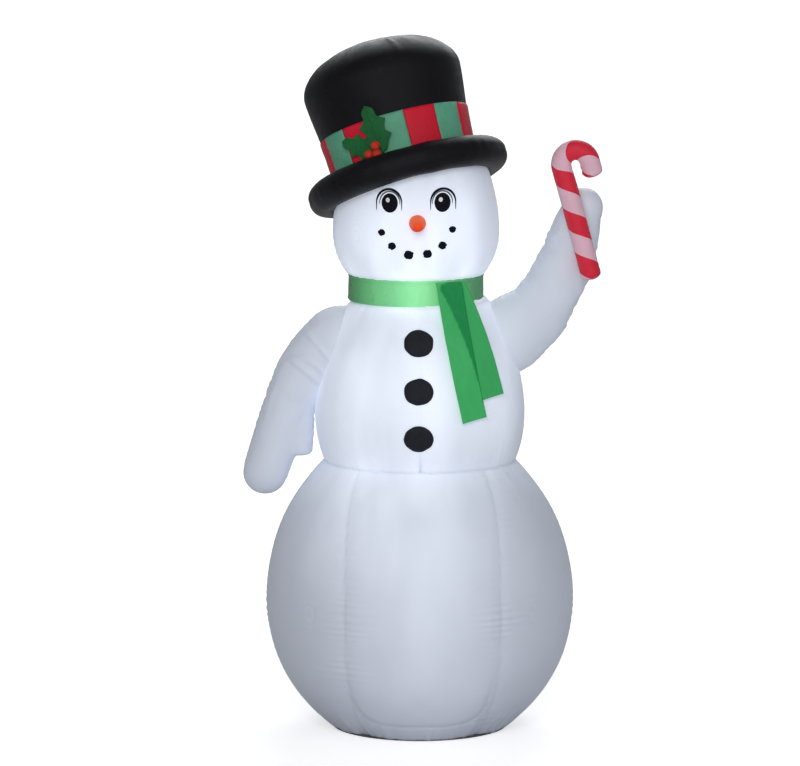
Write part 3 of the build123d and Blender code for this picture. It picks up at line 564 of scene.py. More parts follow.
def metal(name, colour, roughness):
    """Plated or stamped metal with fine scratches."""
    recipe = Recipe(name)
    patches = recipe.mix(recipe.noise(60, 4), shade(colour, 0.88), shade(colour, 1.05))
    shine = recipe.maths("MULTIPLY_ADD", recipe.noise(220, 4, stretch=(1, 8, 1)), 0.22, roughness - 0.08)
    recipe.look(colour=patches, metallic=1.0, roughness=shine)
    recipe.bump((recipe.noise(700, 2, stretch=(1, 6, 1)), 0.00003))
    return recipe.material


def clear_globe():
    """Clear moulded lamp globe."""
    recipe = Recipe("lamp_globe_clear")
    glass = recipe.mix(recipe.noise(30, 2), (0.92, 0.94, 1.0), (0.98, 0.99, 1.0))
    recipe.look(colour=glass, roughness=0.12, alpha=0.35)
    return recipe.material


def led_light():
    """A clear epoxy LED that is on."""
    recipe = Recipe("led_epoxy_lit")
    epoxy = recipe.mix(recipe.noise(200, 2), (0.9, 0.92, 0.95), (1.0, 1.0, 1.0))
    recipe.look(colour=epoxy, roughness=0.2, light_colour=(0.85, 0.92, 1.0), light=3.0)
    return recipe.material


SNOW = snow_cloth("snow_white_polyester", BODY_PAINTED_GLOWS)
ARM_SNOW = snow_cloth("sleeve_white_polyester", ARM_PAINTED_GLOWS)
COAL = cloth("coal_black_polyester", (0.009, 0.011, 0.018), 0.42, 0.02, gloss=0.22, uneven=0.25).material
FACE = cloth(
    "face_black_satin", (0.003, 0.004, 0.009), 0.4, 0.0, gloss=0.12, thread=0.0009, creases=0.0003
).material
GREY_LINE = cloth(
    "eye_rim_grey_satin", (0.16, 0.17, 0.20), 0.4, 0.0, thread=0.0009, uneven=0.1, creases=0.0002
).material
WHITE = cloth(
    "eye_glint_satin", (0.97, 0.98, 1.0), 0.35, 0.1, thread=0.0009, uneven=0.03, creases=0.0002
).material
NOSE_CLOTH = nose_cloth()
HAT_CLOTH = cloth(
    "hat_black_satin", (0.0040, 0.0038, 0.0065), 0.38, 0.0, gloss=0.16, uneven=0.35, creases=0.0040
).material
BAND_RED = cloth("band_red_polyester", (0.70, 0.010, 0.035), 0.36, 0.0, gloss=0.22, uneven=0.18).material
BAND_GREEN = cloth("band_green_polyester", (0.115, 0.42, 0.265), 0.28, 0.05, uneven=0.38).material
HOLLY = cloth(
    "holly_green_felt", (0.004, 0.135, 0.030), 0.6, 0.05, thread=0.0007, uneven=0.3, creases=0.0009
).material
BERRY = cloth("berry_red_polyester", (0.62, 0.028, 0.012), 0.30, 0.05, uneven=0.15, creases=0.0008).material
SCARF = scarf_cloth()
BAND_SATIN = band_cloth()
CANDY = candy_cloth()
WEBBING = cloth(
    "white_webbing", (0.70, 0.72, 0.76), 0.7, 0.3, thread=0.0030, depth=0.0004, uneven=0.08
).material
HEAVY_CLOTH = cloth("floor_grey_oxford", (0.06, 0.06, 0.065), 0.6, 0.2, thread=0.0022, depth=0.0002).material
SACK = cloth("ballast_grey_sack", (0.10, 0.10, 0.105), 0.75, 0.3, thread=0.0026, depth=0.0003).material
CORD = cloth("black_braided_cord", (0.020, 0.020, 0.022), 0.65, 0.3, thread=0.0012, depth=0.0002).material
ZIP_TAPE = cloth("zip_tape_white", (0.66, 0.69, 0.74), 0.6, 0.25, thread=0.0010, depth=0.00015).material
BRASS = metal("eyelet_brass", (0.72, 0.55, 0.26), 0.32)


# --- Seams ---

SEAM_WIDTH = 0.004
STITCH_DEPTH, STITCH_WIDTH = 0.0016, 0.0035
PUCKER_PITCH, PUCKER_START = 0.021, 0.006
PUCKER_REACH, REACH_SPREAD = 0.030, 0.020


def seam_pull(distance, along, width, depth, pucker, seed):
    """A seam's groove with puckers running away from it on both sides."""
    groove = depth * bell(distance, width) + STITCH_DEPTH * bell(distance, STITCH_WIDTH)
    gathers = np.sin(along / PUCKER_PITCH * TAU + 1.7 * ripple(along * 6, seed))
    strength = 0.55 + 0.45 * ripple(along * 3.1, seed + 5)
    reach = PUCKER_REACH + REACH_SPREAD * (0.5 + 0.5 * ripple(along * 9, seed + 9))
    beside = np.exp(-distance / reach) * (1 - np.exp(-distance / PUCKER_START))
    return pucker * strength * gathers * beside - groove


# --- Ball ---

BALL_SEAMS = (-143, -90, -29, 31, 90, 143)
SEAM_FLARE, FLARE_SPAN = 0.16, 0.40      # the front seams spread away from the widest ring
PANEL_HALF, PANEL_TURN_Z, PANEL_DROP = 0.213, 0.300, 0.245


def front_panel_edge(x, z):
    """Distance from the rounded lower edge of the ball's front panel."""
    down = np.clip((PANEL_TURN_Z - z) / PANEL_DROP, 0, None)
    return ((np.abs(x / PANEL_HALF) ** 4 + down**4) ** 0.25 - 1) * PANEL_HALF


def ball_seam_distance(theta, radius, z):
    flare = SEAM_FLARE * ((z - ball_wide[1]) / FLARE_SPAN) ** 2 * np.sin(2 * theta)
    return seam_distance(theta - flare, radius, BALL_SEAMS)


def ball_seam_shade(theta, radius, z):
    """How much painted seam shade the ball has: along its upright seams, the front panel's lower edge and the
    seam round the waist.
    """
    upright = bell(ball_seam_distance(theta, radius, z)[0], SEAM_WIDTH)
    low_front = bell(z - 0.08, 0.10) * (np.cos(theta) > 0)
    lower_edge = bell(front_panel_edge(radius * np.sin(theta), z), SEAM_WIDTH) * low_front
    return 0.25 * upright + 0.3 * lower_edge + 0.3 * bell(z - ball_high[1], SEAM_WIDTH)


def ball_shape(theta, z):
    radius = np.interp(z, BALL[1], BALL[0])
    distance, seam = ball_seam_distance(theta, radius, z)
    near_floor = bell(z - ball_low[1], 0.15)
    near_waist = bell(ball_high[1] - z, 0.09)
    width, depth = 0.020 + 0.03 * near_floor, 0.0032 + 0.010 * near_floor
    pucker = 0.0010 + 0.0024 * bell(z - 0.36, 0.13) + 0.0008 * near_waist
    radius = radius + seam_pull(distance, z + 0.37 * seam, width, depth, pucker, seed=3.0 + seam)
    radius += 0.0012 * near_waist * around(theta, seed=1.3, count=33) * (1 - np.exp(-distance / 0.01))
    radius += 0.0030 * bell(z - ball_low[1], 0.06) * around(theta, seed=2.4, count=30)
    radius += 0.0030 * swell(theta, z, seed=4.2, count=5, rate=1.6)
    low_front = bell(z - 0.10, 0.11) * (np.cos(theta) > 0)
    return radius - 0.0035 * low_front * bell(front_panel_edge(radius * np.sin(theta), z), 0.005)


def make_snow_skin(name, node, grid, body, seams, centre_x=0.0):
    """One of the figure's three white bodies, with painted glow and painted shade along its seams."""
    skin = closed_skin(name, grid, SNOW, body)
    mark_seam_shade(skin, seams, centre_x)
    settle(skin, node)


def make_ball():
    grid = lathe(ball_shape, np.linspace(ball_low[1], ball_high[1], 230), columns=336)
    make_snow_skin("ball_skin", "ball_envelope", grid, "base", ball_seam_shade)


# --- Torso ---

TORSO_SEAMS = (0, 90, 180, -90)
TORSO_OVERLAP, TUCK = 0.004, 0.012       # the torso's ends reach over the ball and the band, then tuck in


def torso_shape(theta, z):
    radius = np.interp(z, TORSO[1], TORSO[0])
    distance, seam = seam_distance(theta, radius, TORSO_SEAMS)
    near_waist = bell(z - torso_low[1], 0.08)
    near_neck = bell(torso_high[1] - z, 0.07)
    depth = 0.0035 + 0.0075 * bell(z - torso_low[1], 0.035) * (seam == 0)
    pucker = 0.0012 + 0.001 * near_waist
    radius = radius + seam_pull(distance, z + 0.29 * seam, 0.014, depth, pucker, seed=7.0 + seam)
    radius += 0.0014 * near_waist * around(theta, seed=5.1, count=31)
    radius += 0.0012 * near_neck * around(theta, seed=6.6, count=27)
    return radius + 0.0028 * swell(theta, z, seed=8.8, count=4, rate=2.1)


def torso_seam_shade(theta, radius, z):
    """How much painted seam shade the torso has: along its upright seams, the front one drawn tight over the
    waist, and the seams round both ends.
    """
    upright = bell(seam_distance(theta, radius, TORSO_SEAMS)[0], SEAM_WIDTH)
    front = bell(wrap_angle(theta) * radius, 0.007) * bell(z - torso_low[1], 0.045)
    ends = bell(z - torso_low[1], 0.005) + bell(z - torso_high[1], 0.005)
    return 0.10 * upright + 0.5 * front + 0.3 * ends


def make_torso():
    heights = np.linspace(torso_low[1] - TORSO_OVERLAP, torso_high[1] + TORSO_OVERLAP, 150)
    grid = lathe(torso_shape, heights, columns=264)
    tuck_low = grid[0] * (0.94, 0.94, 1) - (0, 0, TUCK)
    tuck_high = grid[-1] * (0.90, 0.90, 1) + (0, 0, TUCK)
    grid = np.stack([tuck_low, *grid, tuck_high])
    make_snow_skin("torso_skin", "torso_envelope", grid, "torso", torso_seam_shade)


# --- Head ---

HEAD_SEAMS = (90, -90)
HAT_INNER = 0.010      # the head stops this far above the middle of the brim


def head_shape(theta, z):
    radius = np.interp(z, HEAD[1], HEAD[0])
    distance, seam = seam_distance(theta, radius, HEAD_SEAMS)
    near_rim = bell(z - head_low[1], 0.05)
    radius = radius + seam_pull(distance, z + 0.41 * seam, 0.012, 0.003, pucker=0.0012, seed=11.0 + seam)
    radius += 0.0012 * near_rim * around(theta, seed=9.4, count=29)
    return radius + 0.0020 * swell(theta, z, seed=10.5, count=4, rate=2.6)


def head_seam_shade(theta, radius, z):
    """How much painted seam shade the head has: along its side seams, and the one round its neck."""
    upright = bell(seam_distance(theta, radius, HEAD_SEAMS)[0], SEAM_WIDTH)
    return 0.20 * upright + 0.3 * bell(z - head_low[1], 0.005)


def make_head():
    grid = lathe(head_shape, np.linspace(head_low[1] + 0.002, HEAD_TOP, 130), columns=216, centre_x=HEAD_X)
    axis = np.array((HEAD_X, 0, 0))
    tucks = ((0.94, 0.035), (0.955, 0.008))      # (share of the rim's radius, drop below the rim)
    root, tuck = ((grid[0] - axis) * (share, share, 1) + axis - (0, 0, drop) for share, drop in tucks)
    grid = np.stack([root, tuck, *grid])
    above_brim = (grid - np.array(HAT_ORIGIN)) @ np.array(HAT_UP)
    grid = grid - np.maximum(above_brim - HAT_INNER, 0)[:, :, None] * np.array(HAT_UP)
    make_snow_skin("head_skin", "head_envelope", grid, "head", head_seam_shade, HEAD_X)


# --- Patches on the face and the chest ---

# What a patch is sewn on: (the skin's shape, the x of its axis, its body)
ON_HEAD = (head_shape, HEAD_X, "head")
ON_TORSO = (torso_shape, 0.0, "torso")

EYES = ((-0.0915, 1.6335), (0.066, 1.6355))
PUPIL, GLINT, GLINT_SHIFT = (0.0242, 0.0285), (0.0060, 0.0068), (0.0055, 0.0085)
DARK_ARCH = (0.0375, 0.0405, 0.052, 0.0034)      # (half width, height, legs, thickness)
GREY_ARCH = (0.0302, 0.0340, 0.012, 0.0024)
ARCH_LEANS = (-0.002, 0.002)
ARCH_RAILS = ((-1, 0.0004), (-0.7, 0.0013), (0.7, 0.0013), (1, 0.0004), (0, -0.001))   # (side, lift)
MOUTH = (      # (x, z, radius) of each dot
    (-0.116, 1.545, 0.0105), (-0.085, 1.505, 0.0120), (-0.035, 1.479, 0.0145),
    (0.021, 1.482, 0.0137), (0.066, 1.507, 0.0126), (0.096, 1.554, 0.0105),
)
BUTTON, BUTTON_X, BUTTONS_Z = (0.0445, 0.0395), -0.005, (0.932, 1.073, 1.214)


def on_skin(skin, x, z, lift):
    """The point of a skin's front at (x, z), lifted off it."""
    shape, centre_x, _ = skin
    across = x - centre_x
    radius = shape(np.zeros_like(across), z)
    for _ in range(4):
        radius = shape(np.arcsin(np.clip(across / radius, -1, 1)), z)
    depth = np.sqrt(np.maximum(radius**2 - across**2, 0))
    outward = 1 + lift / radius
    return np.stack([centre_x + across * outward, -depth * outward, z], axis=-1)


def patch(skin, centre, outline, crown, rim, material, rings=10):
    """A sewn-on padded patch. outline gives its edge (x, z) round the centre for angles in radians."""
    edge_x, edge_z = outline(circle(72))
    layers = [(0.985, -0.002)]       # (share of the outline, height off the skin), starting below it
    for lean in np.linspace(0, math.pi / 2, rings)[:-1]:
        layers.append((math.cos(lean), rim + crown * math.sin(lean) ** 0.7))
    grid = []
    for share, lift in layers:
        grid.append(on_skin(skin, centre[0] + edge_x * share, centre[1] + edge_z * share, lift))
    return closed_skin("patch", np.array(grid)[:, ::-1], material, skin[2])


def ellipse(width, height, wobble=0.0, seed=0.0):
    def outline(angles):
        spread = 1 + wobble * around(angles, seed, count=4)
        return width * spread * np.cos(angles), height * spread * np.sin(angles)

    return outline


def arch(eye, width, height, legs, thickness, material):
    """A padded line over an eye: thick on top, thinning down its legs."""
    leg_turn = 0.42
    turn = np.linspace(-leg_turn, math.pi + leg_turn, 60)
    rise = np.sin(turn)
    over = rise > 0
    path_x = eye[0] + width * np.where(over, np.cos(turn), np.sign(np.cos(turn)))
    path_z = eye[1] + np.where(over, height, legs) * rise
    half = thickness * (0.12 + 0.88 * np.clip(rise * 0.75 + 0.45, 0.12, 1))
    outward = np.stack([np.cos(turn), np.maximum(rise, 0)], 1)
    outward /= np.linalg.norm(outward, axis=1)[:, None]
    rails = []
    for side, lift in ARCH_RAILS:
        offset = outward * (half * side)[:, None]
        rails.append(on_skin(ON_HEAD, path_x + offset[:, 0], path_z + offset[:, 1], lift))
    return closed_skin("arch", np.stack(rails, axis=1), material, "head")


def make_eyes():
    """Pupils with a glint each, a dark arch over them, and a thin grey one between the two."""
    pupils, glints, dark, grey = [], [], [], []
    for (x, z), lean in zip(EYES, ARCH_LEANS):
        pupils.append(patch(ON_HEAD, (x, z), ellipse(*PUPIL), crown=0.0006, rim=0.0008, material=FACE))
        shifted = (x - GLINT_SHIFT[0], z + GLINT_SHIFT[1])
        glints.append(patch(ON_HEAD, shifted, ellipse(*GLINT), crown=0.0004, rim=0.0018, material=WHITE))
        dark.append(arch((x + lean, z), *DARK_ARCH, FACE))
        grey.append(arch((x, z), *GREY_ARCH, GREY_LINE))
    settle(join("eye_pupils_satin", pupils), "eye_pupils")
    slump(join("eye_glints_satin", glints))
    settle(join("eye_outlines_satin", dark), "eye_outlines")
    slump(join("eye_rims_satin", grey))


def make_mouth():
    dots = []
    for x, z, radius in MOUTH:
        edge = ellipse(radius, radius * 0.95, wobble=0.09, seed=x * 90)
        dots.append(patch(ON_HEAD, (x, z), edge, crown=0.0008, rim=0.0008, material=FACE, rings=6))
    settle(join("mouth_dots_satin", dots), "mouth_dots")


def make_buttons():
    buttons = []
    for z in BUTTONS_Z:
        edge = ellipse(*BUTTON, wobble=0.022, seed=z * 7)
        buttons.append(patch(ON_TORSO, (BUTTON_X, z), edge, crown=0.007, rim=0.0012, material=COAL))
    settle(join("coal_buttons_padded", buttons), "coal_buttons")


def loop(centre, side, up, radius, angle):
    """A ring of points round a centre, turning from the side direction to the up direction."""
    return np.array(centre) + np.outer(np.cos(angle) * radius, side) + np.outer(np.sin(angle) * radius, up)


def make_nose():
    """A soft carrot: round at the face, drooping to a blunt tip, with a seam under it."""
    low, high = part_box("carrot_nose")
    root = Vector(((low.x + high.x) / 2, high.y + 0.004, high.z - 0.0265))
    droop = math.radians(2)
    along = Vector((0, -math.cos(droop), -math.sin(droop)))
    up = Vector((0, -math.sin(droop), math.cos(droop)))
    length, wide, blunt, seam_depth = 0.094, 0.0262, 0.0085, 0.0012
    taper, tip = 0.92, 0.08      # shares of the length
    angle = circle(48)
    below = wrap_angle(angle + math.pi / 2)
    grid = []
    for s in (*np.linspace(0, taper, 26), *(taper + tip * np.sin(np.linspace(0.2, 1.5, 8)))):
        rounding = math.sqrt(max(0.0, 1 - max(0.0, (s - 0.9) / 0.1) ** 2)) * min(1, s * 1.3)
        radius = wide * (1 - s) ** 0.85 + blunt * rounding - seam_depth * bell(below, 0.25)
        folds = 0.0006 * math.sin(s * 46) * bell(below, 0.8)
        radius = radius + folds + 0.0005 * around(angle + s, seed=3.3, count=3)
        grid.append(loop(root + along * (length * s), (1, 0, 0), up, radius, angle))
    settle(closed_skin("carrot_nose_cloth", np.array(grid), NOSE_CLOTH, "head"), "carrot_nose")


# --- Hat ---

HAT_SEAMS = (100, 180, -100)
BRIM_R, BRIM_TUBE = 0.264, 0.047
RIBBONS, FIRST_RIBBON, RIBBON_GAP = 14, math.radians(11.0), 0.002
RIBBON_LOW, RIBBON_HIGH = 0.048, 0.165
RIBBON_SIT, RIBBON_PUFF, RIBBON_SINK, RIBBON_EDGE = 0.0022, 0.0016, 0.0015, 0.006
CROWN_R = 0.23      # near the band


def hat_radius(theta, v):
    """The crown's radius at a height above the middle of the brim."""
    radius = np.interp(v, HAT[1], HAT[0])
    distance, seam = seam_distance(theta, np.maximum(radius, 0.02), HAT_SEAMS)
    pull = seam_pull(distance, v + 0.3 * seam, 0.010, 0.0018, pucker=0.0008, seed=21.0 + seam)
    radius = radius + pull * np.clip(radius / 0.1, 0, 1)
    radius = radius + 0.0007 * bell(v - 0.318, 0.055) * around(theta, 12.2, 11) * np.clip(radius / 0.2, 0, 1)
    radius = radius + 0.0022 * swell(theta, v, seed=13.1, count=3, rate=2.2) * np.clip(radius / 0.2, 0, 1)
    return np.maximum(radius, 0.0)


def make_hat_crown():
    over_edge = np.linspace(0, math.pi / 2, 60)[1:-1]
    top = HAT_EDGE + (HAT_HEIGHT - HAT_EDGE) * np.sin(over_edge)
    theta, v = np.meshgrid(circle(200), np.concatenate([np.linspace(HAT_FOOT, HAT_EDGE, 70), top]))
    radius = hat_radius(theta, v)
    dent = 0.004 * swell(theta, radius, seed=15.5, count=4, rate=5) * np.clip((v - 0.36) / 0.06, 0, 1)
    on_rim = bell(radius - 0.165, 0.055) * np.clip((v - 0.33) / 0.03, 0, 1)
    dent = dent + 0.0022 * around(theta, seed=15.9, count=19) * on_rim
    crown = closed_skin("hat_crown_cloth", in_hat(turned(radius, theta, v + dent)), HAT_CLOTH, "head")
    settle(crown, "hat_crown")


def make_hat_brim():
    """A padded ring, with a seam round its edge and small puckers on the inner side."""
    theta, turn = np.meshgrid(circle(220), circle(44))
    outer, inner = wrap_angle(turn), wrap_angle(turn - math.pi)
    tube = BRIM_TUBE * (1 - 0.035 * bell(outer, 0.16))
    puckers = np.sin(theta * 62 + 3 * around(theta, 31, 9)) * (0.6 + 0.4 * around(theta, 35, 5))
    tube = tube + 0.0013 * puckers * bell(inner, 0.8)
    tube = tube + 0.0008 * np.sin(theta * 31 + 3 * around(theta, 33, 7)) * bell(outer, 0.5)
    tube = tube + 0.0009 * (around(theta, 17.0, 7) + around(turn + theta, 18.0, 2))
    grid = turned(BRIM_R + tube * np.cos(turn), theta, tube * np.sin(turn))
    settle(ring_skin("hat_brim_padded", in_hat(grid), HAT_CLOTH, "head"), "hat_brim")


def ribbon(index, material):
    """One piece of ribbon on the crown, puffed between its sewn edges."""
    width, tall = TAU / RIBBONS, RIBBON_HIGH - RIBBON_LOW
    start = FIRST_RIBBON + index * width
    across = np.linspace(start + RIBBON_GAP, start + width - RIBBON_GAP, 22)
    theta, v = np.meshgrid(across, np.linspace(RIBBON_LOW, RIBBON_HIGH, 16))
    share, rise = (theta - start) / width, (v - RIBBON_LOW) / tall
    edge = np.minimum(np.minimum(share, 1 - share) * width * CROWN_R, np.minimum(rise, 1 - rise) * tall)
    puff = RIBBON_SIT + RIBBON_PUFF * (1 - np.exp(-np.maximum(edge, 0) / RIBBON_EDGE))
    puff = puff + 0.0007 * ripple2(theta * 4, v * 9, seed=41 + index)
    crown = hat_radius(theta, v)
    outer, inner = (in_hat(turned(crown + lift, theta, v)) for lift in (puff, -RIBBON_SINK))
    return sheet_skin("ribbon", outer, inner, material, "head")


def make_hat_band():
    """The hat's band: pieces of ribbon in two colours by turns, sewn end to end."""
    for first, material, colour in ((0, BAND_RED, "red"), (1, BAND_GREEN, "green")):
        ribbons = [ribbon(index, material) for index in range(first, RIBBONS, 2)]
        settle(join(f"hat_band_{colour}_ribbon", ribbons), f"hat_band_{colour}")


# --- Holly ---

HOLLY_TURN = math.radians(-17)
HOLLY_OUT = HAT_X * math.sin(HOLLY_TURN) - HAT_Y * math.cos(HOLLY_TURN)
HOLLY_SIDE = HAT_X * math.cos(HOLLY_TURN) + HAT_Y * math.sin(HOLLY_TURN)
HOLLY_ORIGIN = HAT_ORIGIN + HAT_UP * 0.082 + HOLLY_OUT * 0.234
LEAF_THICKNESS = 0.0022
LEAVES = (      # (length, width, turn, lift, lean, shift, drop, seed)
    (0.106, 0.080, math.radians(-58), 0.0000, 0.00, 0.000, 0.016, 51),
    (0.150, 0.096, math.radians(-6), 0.0045, 0.05, 0.026, 0.030, 52),
)
BERRY_R, BERRY_OUT = 0.0142, 0.0195
BERRIES = ((0.012, -0.004), (-0.015, -0.024), (0.010, -0.030))


def in_holly(side, up, out):
    """Points of the holly's own frame, which lies on the crown, brought to the row frame."""
    return np.stack([side, up, out], -1) @ np.array([HOLLY_SIDE, HAT_UP, HOLLY_OUT]) + np.array(HOLLY_ORIGIN)


def leaf(length, width, turn, lift, lean, shift, drop, seed):
    """A leaf with sharp points and hollows along both edges, a midrib, veins and a curl."""
    t, u = np.meshgrid(np.linspace(0, 1, 61), np.linspace(-1, 1, 29), indexing="ij")
    body = np.sin(t**0.8 * math.pi) ** 0.62
    teeth = np.abs(((t * 3.1 + 0.15) % 1) - 0.5) * 2
    half = width / 2 * (body * (0.62 + 0.38 * teeth**1.6) + 0.03 * (1 - t))
    half = np.minimum(half, width * 1.6 * (1 - t) + 0.0005)
    across, along = u * half, t * length + 0.006 * np.abs(u) * teeth
    midrib = 0.0016 * bell(across, 0.0022)
    veins = 0.0007 * np.sin((t * 9 - np.abs(u) * 1.1) * TAU) * (1 - np.abs(u)) ** 0.5
    curl = 0.006 * t**2 - 0.004 * u**2 + 0.0012 * ripple2(t * 2, u, seed)
    out = lift + 0.0015 + midrib + veins + curl + lean * along
    side = shift + across * math.cos(turn) + along * math.sin(turn)
    up = along * math.cos(turn) - across * math.sin(turn) - drop
    front, back = (in_holly(side, up, height) for height in (out, out - LEAF_THICKNESS))
    return sheet_skin("leaf", front, back, HOLLY, "head")


def berry(side, up, seed):
    """A padded ball, dimpled where it is gathered."""
    polar, turn = np.meshgrid(np.linspace(0.12, math.pi - 0.12, 22), circle(32), indexing="ij")
    radius = BERRY_R + 0.0004 * around(turn, seed, count=4) - 0.0015 * bell(polar, 0.35)
    ring = radius * np.sin(polar)
    grid = in_holly(side + ring * np.cos(turn), up + ring * np.sin(turn), BERRY_OUT + radius * np.cos(polar))
    return closed_skin("berry", grid[::-1], BERRY, "head")


def make_holly():
    settle(join("holly_leaves_felt", [leaf(*values) for values in LEAVES]), "holly_leaves")
    berries = [berry(side, up, seed=61.0 + number) for number, (side, up) in enumerate(BERRIES)]
    settle(join("holly_berries_padded", berries), "holly_berries")


# --- Scarf ---

HEM = ((0, -0.0035), (0, 0.0004), (0.004, 0.0012), (0.008, 0.0008), (0.010, -0.0002), (0.020, -0.0004))
TAIL_WIDTH, TAIL_HALF_THICK, TAIL_OVERLAP = 0.083, 0.0006, 0.004
TAIL_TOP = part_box("scarf_front_tail")[1].z
FRONT_TAIL = ((1.420, 0.203, 22.5), (1.185, 0.302, 23.9), (0.986, 0.338, 28.7))   # (z, radius, bearing)
BACK_TAIL = ((1.420, 0.197, 23.0), (1.215, 0.286, 37.0), (1.050, 0.327, 42.0))


def make_neck_band():
    """A hemmed satin band, a little gathered by the neck."""
    theta = circle(240)
    section = [(BAND_LOW + z, out) for z, out in HEM]
    section += [(z, -0.0003) for z in np.linspace(BAND_LOW + 0.030, BAND_HIGH - 0.030, 12)]
    section += [(BAND_HIGH - z, out) for z, out in reversed(HEM)]
    grid = []
    for z, out in section:
        folds = 0.0012 * around(theta + z * 0.8, 71, 15) + 0.0006 * around(theta - z * 1.4, 72, 34)
        grid.append(turned(BAND_R + out + folds, theta, z, HEAD_X))
    settle(closed_skin("neck_band_satin", np.array(grid), BAND_SATIN, "torso"), "neck_band")


def unit_rows(vectors):
    return vectors / np.linalg.norm(vectors, axis=-1)[..., None]


def lengths_along(points):
    """Distance from a path's start to each of its points."""
    return np.concatenate([[0], np.cumsum(np.linalg.norm(np.diff(points, axis=0), axis=1))])


def make_tail(name, node, body, stations, seed):
    """A strip of satin down the torso, hemmed all round, with soft waves."""
    heights, reaches, bearings = np.array(stations).T
    bearings = np.radians(bearings)
    places = turned(reaches, bearings, heights)
    lengths = lengths_along(places)
    fits = [np.polyfit(lengths, places[:, axis], 2) for axis in range(3)]
    s, u = np.linspace(0, lengths[-1], 90), np.linspace(-1, 1, 19)
    centre = np.stack([np.polyval(fit, s) for fit in fits], 1)
    slope = unit_rows(np.stack([np.polyval(np.polyder(fit), s) for fit in fits], 1))
    turn = np.polyval(np.polyfit(lengths, bearings, 2), s)
    across = np.stack([np.cos(turn), np.sin(turn), np.zeros_like(turn)], 1)
    across = unit_rows(across - slope * (across * slope).sum(1)[:, None])
    outward = np.cross(slope, across)
    if outward[0, 1] > 0:
        outward = -outward
    points = centre[:, None] + across[:, None] * (u * TAIL_WIDTH / 2)[None, :, None]
    row, column = s[:, None], u[None]
    wave = 0.0016 * ripple2(row * 5 + 0 * column, column * 0.5 + 0 * row, seed)
    wave = wave + 0.003 * column**2 * ripple(row * 2.2, seed + 3)
    half = TAIL_HALF_THICK + 0.0008 * (bell(1 - np.abs(column), 0.10) + bell(s[-1] - row, 0.008))
    kept = points[:, :, 2].max(1) < TAIL_TOP + 0.016
    sides = []
    for lift in (wave + half, wave - half):
        side = (points + outward[:, None] * lift[..., None])[kept][::-1]
        side[..., 2] = np.minimum(side[..., 2], TAIL_TOP + TAIL_OVERLAP)
        sides.append(side)
    tail = sheet_skin(name, *sides, SCARF, body)
    stands_for(tail, node)
    return tail


def mark_overlap_shade(tail, other):
    """Mark how much of a tail lies over the other one, as seen from the front, for the painted shade there.
    """
    other_points = np.array([v.co for v in other.data.vertices])
    values = []
    for vertex in tail.data.vertices:
        row = other_points[np.abs(other_points[:, 2] - vertex.co.z) < 0.008, 0]
        inside = min(vertex.co.x - row.min(), row.max() - vertex.co.x) if len(row) else -1.0
        values.append(min(1.0, max(0.0, inside / 0.003 + 0.5)))
    mark(tail, "overlap_shade", values)


def make_tails():
    front = make_tail("scarf_tail_front_satin", "scarf_front_tail", "tail_front", FRONT_TAIL, seed=81)
    back = make_tail("scarf_tail_back_satin", "scarf_back_tail", "tail_back", BACK_TAIL, seed=82)
    mark_overlap_shade(front, back)
    # Painted shade: the back tail is a little darker all over
    mark(back, "overlap_shade", np.full(len(back.data.vertices), 0.12))
    slump(front)
    slump(back)


# --- Arms ---

# Stations along the middle of a sleeve and of its thumb: (x, z, radius)
HANGING_ARM = (
    (-0.150, 1.200, 0.095), (-0.247, 1.189, 0.110), (-0.308, 1.140, 0.098), (-0.357, 1.082, 0.088),
    (-0.396, 0.999, 0.080), (-0.430, 0.913, 0.074), (-0.473, 0.784, 0.070),
)
HANGING_THUMB = ((-0.362, 1.030, 0.046), (-0.365, 0.856, 0.039))
RAISED_ARM = (
    (0.150, 1.180, 0.100), (0.256, 1.195, 0.117), (0.355, 1.271, 0.100), (0.407, 1.355, 0.091),
    (0.448, 1.438, 0.085), (0.482, 1.560, 0.070), (0.496, 1.596, 0.060),
)
RAISED_THUMB = ((0.462, 1.462, 0.052), (0.427, 1.514, 0.049))
THUMB_DEPTH = (0, 1.35, 0)   # a thumb is deeper than it is wide
THUMB_BLUNT = 0.50           # and its end is flatter than a ball
CAP = np.linspace(0, math.pi / 2, 16)[1:-1]
ARM_ANGLES = circle(84)
VOXEL, SMOOTH_ROUNDS = 0.0055, 16
PATH_STEPS, PATH_ROUNDS, SLEEVE_RINGS, THUMB_RINGS = 200, 60, 150, 14


def softened(values):
    """Values evened out along a path, whose ends stay in place."""
    for _ in range(PATH_ROUNDS):
        values[1:-1] = 0.25 * values[:-2] + 0.5 * values[1:-1] + 0.25 * values[2:]
    return values


def sleeve_grid(arm):
    """A tube along the arm's stations with a round end."""
    x, z, radii = np.array(arm).T
    centres = np.stack([x, 0 * x, z], 1)
    lengths = lengths_along(centres)
    dense = np.linspace(0, lengths[-1], PATH_STEPS)
    path = softened(np.stack([np.interp(dense, lengths, centres[:, axis]) for axis in range(3)], 1))
    size = softened(np.interp(dense, lengths, radii))
    slope = unit_rows(np.gradient(path, axis=0))
    side = np.stack([slope[:, 2], slope[:, 1], -slope[:, 0]], 1)
    grid = []
    for k in np.linspace(0, PATH_STEPS - 1, SLEEVE_RINGS).astype(int):
        grid.append(loop(path[k], side[k], (0, 1, 0), size[k], ARM_ANGLES))
    for lean in CAP:
        middle = path[-1] + slope[-1] * size[-1] * math.sin(lean)
        grid.append(loop(middle, side[-1], (0, 1, 0), size[-1] * math.cos(lean), ARM_ANGLES))
    return np.array(grid)


